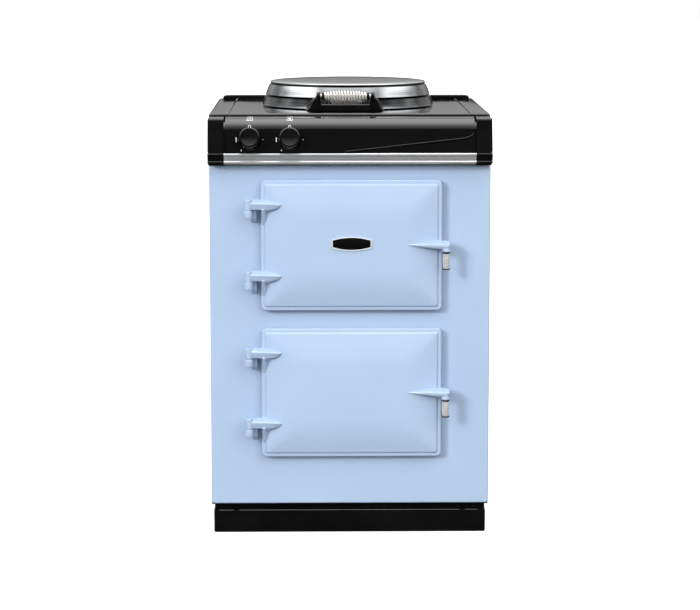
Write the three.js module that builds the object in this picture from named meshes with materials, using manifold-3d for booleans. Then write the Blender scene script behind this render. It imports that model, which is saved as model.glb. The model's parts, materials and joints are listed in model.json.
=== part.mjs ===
// Cast iron range cooker, 600 mm class, with two side-hung ovens and one lidded hotplate.
// Millimetres, +X to the right, +Y to the back, +Z up. The floor is z = 0.
import * as THREE from 'three';
import { mergeVertices } from 'three/addons/utils/BufferGeometryUtils.js';
import Module from 'manifold-3d';

const wasm = await Module();
wasm.setup();

// ---------------------------------------------------------------- driving dimensions

const SEAT = 0.3; // clearance between pieces that rest on or against each other
const RUN = 0.3; // radial clearance of a turning fit
const SHEET = 1.5; // folded steel sheet

const BODY_WIDTH = 594;
const BODY_DEPTH = 600; // front plate's face to the back panel's outside
const PLINTH_HEIGHT = 48;
const PLINTH_SETBACK = 30;
const PLINTH_INSET = 3.5; // each side, from the body's width
const PLINTH_WALL = 3;
const FOOT_RADIUS = 20;
const FOOT_PAD = 8;
const FOOT_STEM_RADIUS = 6;
const FOOT_INSET = 45;
const TRAY_HEIGHT = 22;
const TRAY_STEP = 2; // the tray's edge stands this far inside the plinth's
const TRAY_WALL = 3;
const FRONT_THICK = 8;
const FRONT_CORNER = 7;
const FRONT_EDGE = 3; // rounding of the front plate's outer edge
const RETURN_FLANGE = 18; // width of the folded edges of the side and back panels

const DOOR_WIDTH = 382;
const DOOR_OFFSET_X = 3; // doors sit this far right of the middle
const UPPER_DOOR_HEIGHT = 277;
const LOWER_DOOR_HEIGHT = 277;
const UPPER_DOOR_DROP = 28.5; // front plate's top edge to the upper door's top
const LOWER_DOOR_RISE = 106; // front plate's bottom edge to the lower door's bottom
const DOOR_SPACING = 38.5; // between the two doors
const DOOR_CORNER = 10;
const DOOR_GAP = 4; // front plate to the door's back edge
const DOOR_RIM_THICK = 14;
const DOOR_RIM_WIDTH = 9;
const DOOR_PILLOW = 15; // how far the face rises in front of the rim
const DOOR_WALL = 7;
const DOOR_SLOPE_LENGTH = 92;
const ROPE_WIDTH = 8;
const ROPE_INSET = 4;
const ROPE_DEPTH = 8.4;
const LINER_INSET = 17;
const LINER_PLUG = 6; // how far the liner reaches into the oven mouth
const LINER_PLUG_INSET = 38;

const MOUTH_INSET = 26; // door edge to the oven mouth, each side
const MOUTH_CORNER = 12;
const OVEN_LIP = 8; // oven inside to the mouth's edge, each side
const OVEN_WALL = 6;
const OVEN_CORNER = 16;
const RUNNER_COUNT = 3;
const RUNNER_PITCH = 56;
const RUNNER_REACH = 9;
const RUNNER_THICK = 6;
const SHELF_ROD = 3; // radius of the shelf's frame rod
const SHELF_WIRE = 1.8; // radius of its cross wires
const SHELF_WIRES = 9;
const SHELF_END_GAP = 16; // shelf to the oven's back wall
const RUNNER_START = 28; // oven's mouth to the front of its runners
const ELEMENT_ROD = 4; // radius of the sheathed heating rods
const ELEMENT_SIDES = 5;
const ELEMENT_RUNS = 5;
const ELEMENT_PITCH = 60;
const ELEMENT_RUN_LENGTH = 300;
const ELEMENT_STEPS = 44; // straight steps along one heating rod
const HOTPLATE_RUN_LENGTH = 200;
const INSULATION_THICK = 60; // behind the ovens
const WIRING_SPACE = 25; // insulation to the terminal box

const HINGE_AXIS_X = 26.5; // door's left edge to the hinge axis
const HINGE_AXIS_Y = 30; // front plate to the hinge axis
const HINGE_SPACING = 151;
const KNUCKLE_RADIUS = 7.3;
const KNUCKLE_HEIGHT = 22.5;
const LUG_RADIUS = 9;
const LUG_HEIGHT = 17;
const WEB_DROP = 29; // the lug's web reaches this far below the hinge's seat
const PIN_RADIUS = 4;
const PIN_IN_LUG = 14;
const PIN_IN_KNUCKLE = 16;
const ARM_REACH = 64; // hinge axis to the arm's tip on the door face
const ARM_FRONT = 38; // front plate to the arm's front face
const ARM_CREASE = 8; // drop of the bevel along the arm's front
const ARM_NECK = 11; // door's edge to the arm's deepest section
const ARM_BELLY = 8; // how far the arm hangs below its seat there
const ARM_TIP = 8;
const ARM_ROOT = 10; // the arm's back, inside the door casting
const LOBE_WIDTH = 13;
const LOBE_NECK = 8;
const LOBE_DROP = 32;

const RIDGE_REACH = 71; // door's edge to the tip of the handle ridge on its face
const RIDGE_OVERHANG = 17; // door's edge to the ridge's outer end
const RIDGE_FRONT = 50; // front plate to the handle's front
const RIDGE_HEIGHT = 19;
const RIDGE_LIFT = 3.5; // middle of the ridge above the door's middle
const RIDGE_TIP = 20; // length of the ridge's first rise out of the face
const RIDGE_BEVEL = 0.3; // share of the ridge's height above its front edge
const COLLAR_WIDTH = 1.8; // grip's collar past the grip, each side
const COLLAR_DROP = 5; // collar below the ridge
const GRIP_RADIUS = 7.5;
const GRIP_LENGTH = 37;
const GRIP_OVERHANG = 8; // door's edge to the grip's axis
const BADGE_WIDTH = 84;
const BADGE_HEIGHT = 30;
const BADGE_END_HEIGHT = 18;
const BADGE_THICK = 2.4;
const BADGE_LIFT = 5.5;

const SHADOW_GAP = 6.3; // front plate's top to the trim
const TRIM_HEIGHT = 22;
const TRIM_FRONT = 30; // trim's face in front of the front plate
const TRIM_CAP_LENGTH = 34.5;
const TRIM_BEAD = 6;
const TRIM_GROOVE = 1.6;
const TRIM_STEP = 2.4; // height of the deeper step above the lower bead
const TRIM_ROUND = 1.5; // how far each bead's edges fall back
const TRIM_CAP_CORNER = 4;
const TOP_OVERHANG = 2; // top plate and fascia past the body, each side
const FASCIA_HEIGHT = 73;
const FASCIA_LEAN = 28; // fascia's foot in front of the front plate
const FASCIA_BACK = 45.7; // fascia's top edge behind the front plate
const FASCIA_KNEE = 41.61; // height of the fascia's straight lower face
const FASCIA_RAKE = 12; // how far that face leans back over its height
const FASCIA_SWELL_BACK = 5; // knee to the first handle of the crown's curve
const FASCIA_SWELL_UP = 18;
const FASCIA_CROWN_BACK = 34; // foot to the second handle of the crown's curve
const FASCIA_CROWN_DROP = 1;
const FASCIA_CORNER = 6;
const FASCIA_WALL = 6;
const CHEEK_WIDTH = 34;
const CHEEK_GROOVE = 3;
const SWOOSH_DEPTH = 3;
const SWOOSH_START = 12; // left of the middle
const SWOOSH_START_RISE = 3;
const SWOOSH_BEND = 30; // end of the straight line, in from the panel's end
const SWOOSH_BEND_RISE = 29.5;
const SWOOSH_TURN = 2; // corner of the bend, in from the panel's end
const SWOOSH_TURN_RISE = 33;
const SWOOSH_END_RISE = 48;
const KNOB_RADIUS = 24;
const KNOB_LENGTH = 25;
const KNOB_CAP = 3;
const KNOB_SKIRT = 4; // height of the wide skirt at its foot
const KNOB_WAIST = 1.5; // skirt to grip, each side
const KNOB_CROWN = 6; // edge of the flat top, in from the skirt
const KNOB_INSET = 88.5; // end of the fascia to the left knob's axis
const KNOB_PITCH = 84;
const KNOB_HEIGHT = 28; // knob axis above the fascia's foot
const SPINDLE_RADIUS = 3;
const SPINDLE_IN_KNOB = 14;
const SWITCH_BOX_DEPTH = 26;
const SWITCH_BOX_HEIGHT = 32;
const SWITCH_MARGIN = 30;
const SPINDLE_IN_BOX = 10;

const TOP_RISE = 5.5; // hob surface above the fascia's top edge
const TOP_DEPTH = 25; // hob surface to the foot of the top plate's skirt
const TOP_THICK = 10;
const TOP_SKIRT = 8;
const TOP_EDGE = 7;
const TOP_CORNER = 12;
const SIDE_GROOVE_INSET = 44; // top plate's end to the middle of the groove
const SIDE_GROOVE = 3;
const RAIL_DEPTH = 34;
const RAIL_HEIGHT = 8;
const RAIL_CORNER = 14;
const RAIL_LIP = 10; // width of the edge round the rail's shallow channel
const RAIL_CHANNEL = 2;

const HOTPLATE_RADIUS = 166;
const HOTPLATE_FLANGE = 10;
const HOTPLATE_FLANGE_THICK = 3;
const HOTPLATE_THICK = 24;
const LID_CLEARANCE = 11.5; // hotplate's flange to the inside of the lid's rim
const LID_LOWER_TAPER = 9; // rim to waist
const LID_UPPER_TAPER = 8; // waist to shoulder
const LID_WAIST = 25; // heights above the rim
const LID_SHOULDER = 51;
const LID_CROWN = 6; // shoulder to the flat top
const LID_RIM_BAND = 3; // height of the upright edge at the rim
const LID_WALL = 2.5;
const LID_FACETS = 40;
const LID_LINER = 2;
const LID_LINER_RISE = 8;
const LID_HINGE_GAP = 13; // lid's rim to the hinge's barrel
const LID_AXIS_Z = 16; // lid hinge's axis above the hob
const LID_BARREL = 9;
const LID_PIN_RADIUS = 4;
const LID_LUG_WIDTH = 12;
const LID_BASE_THICK = 4;
const LID_BASE_HEEL = 4; // hinge bracket's foot behind its barrel
const RAIL_GAP = 11; // hinge bracket to the rail
const LID_ARM_WIDTH = 96;
const LID_ARM_HEIGHT = 22;
const HANDLE_X = -8; // lid handle's middle
const HANDLE_REACH = 38; // coil's middle in front of the lid's waist
const HANDLE_RISE = 33; // coil's middle above the hob
const HANDLE_ARM_THICK = 8;
const HANDLE_EYE = 8.5;
const HANDLE_FOOT = 30; // how far each arm spreads sideways at the lid
const HANDLE_WEB_HEIGHT = 13;
const HANDLE_ROOT = 25; // how far the casting reaches in past the lid's waist
const HANDLE_ARM_DEPTH = 26; // an arm's depth at its eye
const HANDLE_ROD_RADIUS = 4.3;
const COIL_TURNS = 15;
const COIL_LENGTH = 98;
const COIL_END_GAP = 5; // coil's end to the arm beside it
const COIL_MID_RADIUS = 10.6;
const COIL_WIRE = 1.9;
const COIL_STEPS = 8; // straight steps in one turn
const COIL_SIDES = 5;

const TERMINAL_WIDTH = 84;
const TERMINAL_HEIGHT = 70;
const TERMINAL_DEPTH = 55;
const TERMINAL_WALL = 3;
const TERMINAL_TO_SIDE = 97; // terminal box's middle to the right-hand side
const TERMINAL_RISE = 80; // its middle above the body's foot
const GLAND_RADIUS = 13;
const GLAND_LENGTH = 34;
const VENT_ROWS = 5;
const VENT_COLUMNS = 3;
const VENT_WIDTH = 90;
const VENT_SLOT = 7;
const VENT_PITCH = 22;

// ---------------------------------------------------------------- places worked out

const HALF_WIDTH = BODY_WIDTH / 2;
const HALF_TOP = HALF_WIDTH + TOP_OVERHANG;
const TOP_WIDTH = 2 * HALF_TOP;
const TRAY_BOTTOM = PLINTH_HEIGHT + SEAT;
const BODY_BOTTOM = TRAY_BOTTOM + TRAY_HEIGHT;
const DOORS_HEIGHT = LOWER_DOOR_HEIGHT + DOOR_SPACING + UPPER_DOOR_HEIGHT;
const FRONT_HEIGHT = LOWER_DOOR_RISE + DOORS_HEIGHT + UPPER_DOOR_DROP;
const FRONT_TOP = BODY_BOTTOM + FRONT_HEIGHT;
const TRIM_BOTTOM = FRONT_TOP + SHADOW_GAP;
const TRIM_TOP = TRIM_BOTTOM + TRIM_HEIGHT;
const FASCIA_BOTTOM = TRIM_TOP + SEAT;
const FASCIA_TOP = FASCIA_BOTTOM + FASCIA_HEIGHT;
const HOB = FASCIA_TOP + TOP_RISE;
const SIDE_TOP = HOB - TOP_DEPTH - SEAT;
const TOP_FRONT = FASCIA_BACK + SEAT;
const PANEL_BACK = BODY_DEPTH - SHEET - SEAT;
const BEHIND_FRONT = FRONT_THICK + SEAT;
const SERVICE_FRONT = PANEL_BACK - TERMINAL_DEPTH - WIRING_SPACE;
const OVEN_BACK = SERVICE_FRONT - INSULATION_THICK;
const TRIM_HALF = HALF_TOP - TRIM_CAP_LENGTH;
const TERMINAL_X = HALF_WIDTH - TERMINAL_TO_SIDE;
const TERMINAL_Z = BODY_BOTTOM + TERMINAL_RISE;
const PLINTH_HALF = HALF_WIDTH - PLINTH_INSET;
const TRAY_HALF = PLINTH_HALF - TRAY_STEP;
const TRAY_FRONT = PLINTH_SETBACK + TRAY_STEP;
const UPPER_DOOR_Z = FRONT_TOP - UPPER_DOOR_DROP - UPPER_DOOR_HEIGHT / 2;
const LOWER_DOOR_Z = BODY_BOTTOM + LOWER_DOOR_RISE + LOWER_DOOR_HEIGHT / 2;
const MOUTH_WIDTH = DOOR_WIDTH - 2 * MOUTH_INSET;
const OVEN_INSIDE = MOUTH_WIDTH + 2 * OVEN_LIP;
const DOOR_FRONT = DOOR_GAP + DOOR_RIM_THICK + DOOR_PILLOW;
const RIDGE_START = DOOR_WIDTH / 2 - RIDGE_REACH;
const RIDGE_END = DOOR_WIDTH / 2 + RIDGE_OVERHANG;
const GRIP_X = DOOR_WIDTH / 2 + GRIP_OVERHANG;
const LID_RIM = HOB + SEAT;
const LID_RIM_RADIUS = HOTPLATE_RADIUS + HOTPLATE_FLANGE + LID_CLEARANCE + LID_WALL;
const LID_WAIST_RADIUS = LID_RIM_RADIUS - LID_LOWER_TAPER;
const LID_TOP_RADIUS = LID_WAIST_RADIUS - LID_UPPER_TAPER;
const LID_HEIGHT = LID_SHOULDER + LID_CROWN;
const LID_AXIS_Y = LID_RIM_RADIUS + LID_HINGE_GAP + LID_BARREL; // behind the lid's middle
const RAIL_FRONT = BODY_DEPTH - TOP_EDGE - RAIL_DEPTH;
const HOTPLATE_Y = RAIL_FRONT - RAIL_GAP - LID_BASE_HEEL - LID_BARREL - LID_AXIS_Y;
const LID_AXIS = [HOTPLATE_Y + LID_AXIS_Y, HOB + LID_AXIS_Z];
const HANDLE_SPAN = COIL_LENGTH + 2 * COIL_END_GAP + HANDLE_ARM_THICK; // between the arms' middles
const COIL_END_RADIUS = (HANDLE_ROD_RADIUS + COIL_WIRE + SEAT) / Math.cos(Math.PI / COIL_STEPS);

// ---------------------------------------------------------------- finishes

function finish(color, roughness, metalness) {
  return new THREE.MeshStandardMaterial({ color, roughness, metalness });
}

const BLUE_ENAMEL = finish(0xb9d0ea, 0.25, 0);
const BLACK_ENAMEL = finish(0x0d0e10, 0.18, 0);
const BLACK_PAINT = finish(0x17181a, 0.55, 0);
const RAW_IRON = finish(0x3a3b3d, 0.6, 0.6);
const STEEL = finish(0x9a9da0, 0.4, 1);
const STAINLESS = finish(0xd6d8da, 0.15, 1);
const NICKEL = finish(0xcfc8bf, 0.25, 1);
const GALVANISED = finish(0xa3a8ab, 0.5, 0.8);
const WOOL = finish(0xd9cf9a, 0.95, 0);
const ROPE = finish(0x4b4a48, 0.95, 0);
const PHENOLIC = finish(0x101012, 0.3, 0);

// ---------------------------------------------------------------- solids

function outward(geometry) {
  const p = geometry.attributes.position;
  const index = geometry.index;
  const a = new THREE.Vector3();
  const b = new THREE.Vector3();
  const c = new THREE.Vector3();
  let volume = 0;
  for (let i = 0; i < index.count; i += 3) {
    a.fromBufferAttribute(p, index.getX(i));
    b.fromBufferAttribute(p, index.getX(i + 1));
    c.fromBufferAttribute(p, index.getX(i + 2));
    volume += a.dot(b.cross(c));
  }
  if (volume < 0) {
    for (let i = 0; i < index.count; i += 3) {
      const first = index.getX(i);
      index.setX(i, index.getX(i + 1));
      index.setX(i + 1, first);
    }
  }
  return geometry;
}

function toSolid(geometry) {
  const bare = geometry.clone();
  bare.deleteAttribute('normal');
  bare.deleteAttribute('uv');
  const merged = outward(mergeVertices(bare, 1e-4));
  return new wasm.Manifold(new wasm.Mesh({
    numProp: 3,
    vertProperties: Float32Array.from(merged.attributes.position.array),
    triVerts: Uint32Array.from(merged.index.array),
  }));
}

function toGeometry(solid) {
  const mesh = solid.getMesh();
  const geometry = new THREE.BufferGeometry();
  geometry.setAttribute('position', new THREE.BufferAttribute(mesh.vertProperties, 3));
  geometry.setIndex(new THREE.BufferAttribute(mesh.triVerts, 1));
  return geometry;
}

function join(...pieces) {
  return pieces.map(solidOf).reduce((sum, piece) => sum.add(piece));
}

function cut(piece, ...tools) {
  return tools.map(solidOf).reduce((rest, tool) => rest.subtract(tool), solidOf(piece));
}

function common(piece, other) {
  return solidOf(piece).intersect(solidOf(other));
}

function solidOf(piece) {
  return piece.isBufferGeometry ? toSolid(piece) : piece;
}

function box(x0, x1, y0, y1, z0, z1) {
  const geometry = new THREE.BoxGeometry(x1 - x0, y1 - y0, z1 - z0);
  return geometry.translate((x0 + x1) / 2, (y0 + y1) / 2, (z0 + z1) / 2);
}

// A shape pushed along its own normal; a bevel rounds both end faces inside the outline.
function extruded(shape, depth, bevelSize, curveSegments) {
  return new THREE.ExtrudeGeometry(shape, {
    depth: depth - 2 * bevelSize,
    bevelEnabled: bevelSize > 0,
    bevelThickness: bevelSize,
    bevelSize,
    bevelOffset: -bevelSize,
    bevelSegments: bevelSize > 2 ? 2 : 1,
    curveSegments,
  });
}

// A shape drawn in x and z, as seen from the front, from y0 back to y1.
function frontPrism(shape, y0, y1, bevelSize = 0, curveSegments = 3) {
  const geometry = extruded(shape, y1 - y0, bevelSize, curveSegments);
  geometry.rotateX(Math.PI / 2);
  return geometry.translate(0, y1 - bevelSize, 0);
}

// A shape drawn in x and y, as seen from above, from z0 up to z1.
function planPrism(shape, z0, z1, bevelSize = 0, curveSegments = 3) {
  const geometry = extruded(shape, z1 - z0, bevelSize, curveSegments);
  return geometry.translate(0, 0, z0 + bevelSize);
}

// A shape drawn in y and z, as seen from the right-hand side, from x0 to x1.
function sidePrism(shape, x0, x1, curveSegments = 8) {
  const geometry = extruded(shape, x1 - x0, 0, curveSegments);
  const turn = new THREE.Matrix4().makeBasis(
    new THREE.Vector3(0, 1, 0),
    new THREE.Vector3(0, 0, 1),
    new THREE.Vector3(1, 0, 0),
  );
  return geometry.applyMatrix4(turn).translate(x0, 0, 0);
}

function roundedRect(width, height, radius, cx = 0, cy = 0) {
  const x0 = cx - width / 2;
  const x1 = cx + width / 2;
  const y0 = cy - height / 2;
  const y1 = cy + height / 2;
  const shape = new THREE.Shape();
  shape.moveTo(x0 + radius, y0);
  shape.absarc(x1 - radius, y0 + radius, radius, -Math.PI / 2, 0, false);
  shape.absarc(x1 - radius, y1 - radius, radius, 0, Math.PI / 2, false);
  shape.absarc(x0 + radius, y1 - radius, radius, Math.PI / 2, Math.PI, false);
  shape.absarc(x0 + radius, y0 + radius, radius, Math.PI, Math.PI * 1.5, false);
  return shape;
}

function polygon(points) {
  return new THREE.Shape(points.map(([u, v]) => new THREE.Vector2(u, v)));
}

// A solid of revolution about a vertical axis through the origin.
function turned(profile, segments) {
  const points = profile.map(([radius, z]) => new THREE.Vector2(radius, z));
  return outward(new THREE.LatheGeometry(points, segments).rotateX(Math.PI / 2));
}

function rod(radius, length, sides) {
  return turned([[0, 0], [radius, 0], [radius, length], [0, length]], sides);
}

// A closed skin over rings that hold the same number of points, capped at both ends.
function loft(rings) {
  const count = rings[0].length;
  const vertices = [];
  const indices = [];
  rings.forEach((ring) => ring.forEach((point) => vertices.push(...point)));
  for (let r = 0; r < rings.length - 1; r += 1) {
    for (let i = 0; i < count; i += 1) {
      const a = r * count + i;
      const b = r * count + ((i + 1) % count);
      indices.push(a, b, b + count, a, b + count, a + count);
    }
  }
  for (const [ring, turn] of [[0, true], [rings.length - 1, false]]) {
    const middle = vertices.length / 3;
    const centre = [0, 1, 2].map((k) => rings[ring].reduce((sum, p) => sum + p[k], 0) / count);
    vertices.push(...centre);
    for (let i = 0; i < count; i += 1) {
      const a = ring * count + i;
      const b = ring * count + ((i + 1) % count);
      indices.push(...(turn ? [b, a, middle] : [a, b, middle]));
    }
  }
  const geometry = new THREE.BufferGeometry();
  geometry.setAttribute('position', new THREE.Float32BufferAttribute(vertices, 3));
  geometry.setIndex(indices);
  return outward(geometry);
}

// Points round a rounded rectangle seen from the front, at depth y.
function frontRing(halfWidth, halfHeight, radius, y, perCorner = 3) {
  const ring = [];
  const corners = [[1, 1, 0], [-1, 1, 1], [-1, -1, 2], [1, -1, 3]];
  for (const [sx, sz, quarter] of corners) {
    for (let i = 0; i < perCorner; i += 1) {
      const angle = (quarter + i / (perCorner - 1)) * Math.PI / 2;
      const x = sx * (halfWidth - radius) + radius * Math.cos(angle);
      const z = sz * (halfHeight - radius) + radius * Math.sin(angle);
      ring.push([x, y, z]);
    }
  }
  return ring;
}

function tube(curve, radius, steps, sides) {
  const section = new THREE.Shape();
  for (let i = 0; i < sides; i += 1) {
    const angle = (i / sides) * 2 * Math.PI;
    const place = [radius * Math.cos(angle), radius * Math.sin(angle)];
    if (i === 0) section.moveTo(...place);
    else section.lineTo(...place);
  }
  return new THREE.ExtrudeGeometry(section, { steps, extrudePath: curve, bevelEnabled: false });
}

function add(group, name, piece, material) {
  const geometry = piece.isBufferGeometry ? piece : toGeometry(piece);
  const mesh = new THREE.Mesh(geometry, material);
  mesh.name = name;
  group.add(mesh);
  return mesh;
}

// ---------------------------------------------------------------- plinth, tray and feet

function makePlinth() {
  const depth = BODY_DEPTH - PLINTH_SETBACK;
  const middle = PLINTH_SETBACK + depth / 2;
  const outline = roundedRect(2 * PLINTH_HALF, depth, FRONT_CORNER, 0, middle);
  const inner = roundedRect(
    2 * (PLINTH_HALF - PLINTH_WALL),
    depth - 2 * PLINTH_WALL,
    FRONT_CORNER - PLINTH_WALL,
    0,
    middle,
  );
  outline.holes.push(inner);
  return planPrism(outline, 0, PLINTH_HEIGHT);
}

function makeTray() {
  const outer = box(-TRAY_HALF, TRAY_HALF, TRAY_FRONT, PANEL_BACK, TRAY_BOTTOM, BODY_BOTTOM);
  const inner = box(
    -TRAY_HALF + TRAY_WALL,
    TRAY_HALF - TRAY_WALL,
    TRAY_FRONT + TRAY_WALL,
    PANEL_BACK - TRAY_WALL,
    TRAY_BOTTOM + TRAY_WALL,
    BODY_BOTTOM + 1,
  );
  const rim = box(-HALF_WIDTH, HALF_WIDTH, BEHIND_FRONT, PANEL_BACK, BODY_BOTTOM - TRAY_WALL, BODY_BOTTOM);
  return cut(join(outer, rim), inner);
}

function makeFoot() {
  return turned([
    [0, 0],
    [FOOT_RADIUS, 0],
    [FOOT_RADIUS, FOOT_PAD - 2],
    [FOOT_RADIUS - 2, FOOT_PAD],
    [FOOT_STEM_RADIUS, FOOT_PAD],
    [FOOT_STEM_RADIUS, PLINTH_HEIGHT],
    [0, PLINTH_HEIGHT],
  ], 14);
}

// ---------------------------------------------------------------- casing

function makeFrontPlate() {
  const middle = (BODY_BOTTOM + FRONT_TOP) / 2;
  const shape = roundedRect(BODY_WIDTH, FRONT_HEIGHT, FRONT_CORNER, 0, middle);
  const plate = frontPrism(shape, 0, FRONT_THICK + FRONT_EDGE, FRONT_EDGE);
  const back = box(-HALF_TOP, HALF_TOP, FRONT_THICK, FRONT_THICK + 2 * FRONT_EDGE, 0, FRONT_TOP + 1);
  const mouths = DOORS.map((door) => frontPrism(mouthShape(door), -1, FRONT_THICK + 1));
  return cut(plate, back, ...mouths);
}

function mouthShape(door) {
  return roundedRect(MOUTH_WIDTH, door.height - 2 * MOUTH_INSET, MOUTH_CORNER, DOOR_OFFSET_X, door.z);
}

function makeSidePanel(side) {
  const bottom = BODY_BOTTOM + SEAT;
  const shoulder = TRIM_BOTTOM - SEAT;
  const front = BEHIND_FRONT;
  const outline = (inset) => polygon([
    [front + inset, bottom + inset],
    [PANEL_BACK - inset, bottom + inset],
    [PANEL_BACK - inset, SIDE_TOP - inset],
    [TOP_FRONT + inset, SIDE_TOP - inset],
    [TOP_FRONT + inset, shoulder - inset],
    [front + inset, shoulder - inset],
  ]);
  const panel = sidePrism(outline(0), HALF_WIDTH - RETURN_FLANGE, HALF_WIDTH);
  const hollow = sidePrism(outline(SHEET), HALF_WIDTH - RETURN_FLANGE - 1, HALF_WIDTH - SHEET);
  const right = toGeometry(cut(panel, hollow));
  return side > 0 ? right : outward(right.scale(-1, 1, 1));
}

function makeBackPanel() {
  const bottom = BODY_BOTTOM + SEAT;
  const panel = box(-HALF_WIDTH, HALF_WIDTH, PANEL_BACK + SEAT, BODY_DEPTH, bottom, SIDE_TOP);
  const slots = [];
  for (let row = 0; row < VENT_ROWS; row += 1) {
    for (let column = 0; column < VENT_COLUMNS; column += 1) {
      const x = (column - (VENT_COLUMNS - 1) / 2) * VENT_WIDTH * 1.5;
      const z = SIDE_TOP - (row + 2) * VENT_PITCH;
      const slot = roundedRect(VENT_WIDTH, VENT_SLOT, VENT_SLOT / 2 - 0.1, x, z);
      slots.push(frontPrism(slot, PANEL_BACK - 1, BODY_DEPTH + 1, 0, 1));
    }
  }
  const inlet = box(
    TERMINAL_X - TERMINAL_WIDTH / 2 + TERMINAL_WALL,
    TERMINAL_X + TERMINAL_WIDTH / 2 - TERMINAL_WALL,
    PANEL_BACK - 1,
    BODY_DEPTH + 1,
    TERMINAL_Z - TERMINAL_HEIGHT / 2 + TERMINAL_WALL,
    TERMINAL_Z + TERMINAL_HEIGHT / 2 - TERMINAL_WALL,
  );
  return cut(panel, inlet, ...slots);
}

function makeTerminalBox() {
  const x0 = TERMINAL_X - TERMINAL_WIDTH / 2;
  const x1 = TERMINAL_X + TERMINAL_WIDTH / 2;
  const z0 = TERMINAL_Z - TERMINAL_HEIGHT / 2;
  const z1 = TERMINAL_Z + TERMINAL_HEIGHT / 2;
  const y0 = PANEL_BACK - TERMINAL_DEPTH;
  const wall = TERMINAL_WALL;
  const body = box(x0, x1, y0, PANEL_BACK, z0, z1);
  const hollow = box(x0 + wall, x1 - wall, y0 + wall, PANEL_BACK + 1, z0 + wall, z1 - wall);
  return cut(body, hollow);
}

function makeGland() {
  const nut = GLAND_RADIUS;
  const gland = cut(
    turned([
      [0, 0],
      [nut, 0],
      [nut, GLAND_LENGTH * 0.3],
      [nut * 0.8, GLAND_LENGTH * 0.35],
      [nut * 0.8, GLAND_LENGTH * 0.45],
      [nut, GLAND_LENGTH * 0.5],
      [nut, GLAND_LENGTH * 0.85],
      [nut * 0.7, GLAND_LENGTH],
      [0, GLAND_LENGTH],
    ], 12),
    rod(nut * 0.4, GLAND_LENGTH, 12).translate(0, 0, GLAND_LENGTH / 3),
  );
  return toGeometry(gland)
    .rotateX(-Math.PI / 2)
    .translate(TERMINAL_X, PANEL_BACK - TERMINAL_DEPTH + TERMINAL_WALL + SEAT, TERMINAL_Z);
}

// ---------------------------------------------------------------- ovens

function makeOven(door) {
  const inside = door.height - 2 * MOUTH_INSET + 2 * OVEN_LIP;
  const outer = roundedRect(
    OVEN_INSIDE + 2 * OVEN_WALL,
    inside + 2 * OVEN_WALL,
    OVEN_CORNER,
    DOOR_OFFSET_X,
    door.z,
  );
  const inner = roundedRect(OVEN_INSIDE, inside, OVEN_CORNER - OVEN_WALL, DOOR_OFFSET_X, door.z);
  const body = frontPrism(outer, BEHIND_FRONT, OVEN_BACK);
  const hollow = frontPrism(inner, BEHIND_FRONT - 1, OVEN_BACK - OVEN_WALL);
  const runners = [];
  for (let i = 0; i < RUNNER_COUNT; i += 1) {
    const z = door.z + (i - (RUNNER_COUNT - 1) / 2) * RUNNER_PITCH;
    for (const side of [-1, 1]) {
      const wall = DOOR_OFFSET_X + side * (OVEN_INSIDE / 2 + OVEN_WALL / 2);
      const tip = DOOR_OFFSET_X + side * (OVEN_INSIDE / 2 - RUNNER_REACH);
      runners.push(box(
        Math.min(wall, tip),
        Math.max(wall, tip),
        BEHIND_FRONT + RUNNER_START,
        OVEN_BACK - OVEN_WALL,
        z - RUNNER_THICK / 2,
        z + RUNNER_THICK / 2,
      ));
    }
  }
  return join(cut(body, hollow), ...runners);
}

function makeShelf(door) {
  const half = OVEN_INSIDE / 2 - 2;
  const y0 = BEHIND_FRONT + RUNNER_START;
  const y1 = OVEN_BACK - OVEN_WALL - SHELF_END_GAP;
  const z = door.z - RUNNER_PITCH + RUNNER_THICK / 2 + SHELF_ROD + SEAT;
  const bars = [];
  for (const y of [y0 + SHELF_ROD, y1 - SHELF_ROD]) {
    bars.push(rod(SHELF_ROD, 2 * half, 6).rotateY(Math.PI / 2).translate(-half, y, 0));
  }
  for (const x of [-half + SHELF_ROD, half - SHELF_ROD]) {
    bars.push(rod(SHELF_ROD, y1 - y0, 6).rotateX(-Math.PI / 2).translate(x, y0, 0));
  }
  for (let i = 1; i <= SHELF_WIRES; i += 1) {
    const x = -half + (i * 2 * half) / (SHELF_WIRES + 1);
    const wire = rod(SHELF_WIRE, y1 - y0 - SHELF_ROD, 4).rotateX(-Math.PI / 2);
    bars.push(wire.translate(x, y0 + SHELF_ROD / 2, SHELF_ROD - SHELF_WIRE));
  }
  return toGeometry(join(...bars)).translate(DOOR_OFFSET_X, 0, z);
}

// A heating rod that runs to and fro, its runs joined by half turns.
class SerpentineCurve extends THREE.Curve {
  constructor(runs, length, pitch) {
    super();
    this.runs = runs;
    this.length = length;
    this.pitch = pitch;
  }

  getPoint(t, target = new THREE.Vector3()) {
    const radius = this.pitch / 2;
    const stride = this.length + Math.PI * radius;
    const travelled = t * (this.runs * stride - Math.PI * radius);
    const run = Math.min(Math.floor(travelled / stride), this.runs - 1);
    const along = travelled - run * stride;
    const way = run % 2 === 0 ? 1 : -1;
    const turn = Math.max(along - this.length, 0) / radius;
    const x = way * (Math.min(along, this.length) - this.length / 2 + radius * Math.sin(turn));
    const y = run * this.pitch + radius * (1 - Math.cos(turn));
    return target.set(x, y - ((this.runs - 1) * this.pitch) / 2, 0);
  }
}

// Middle of a rod to the flat on top of its faceted section.
function elementTop() {
  return ELEMENT_ROD * Math.cos(Math.PI / ELEMENT_SIDES);
}

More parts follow.
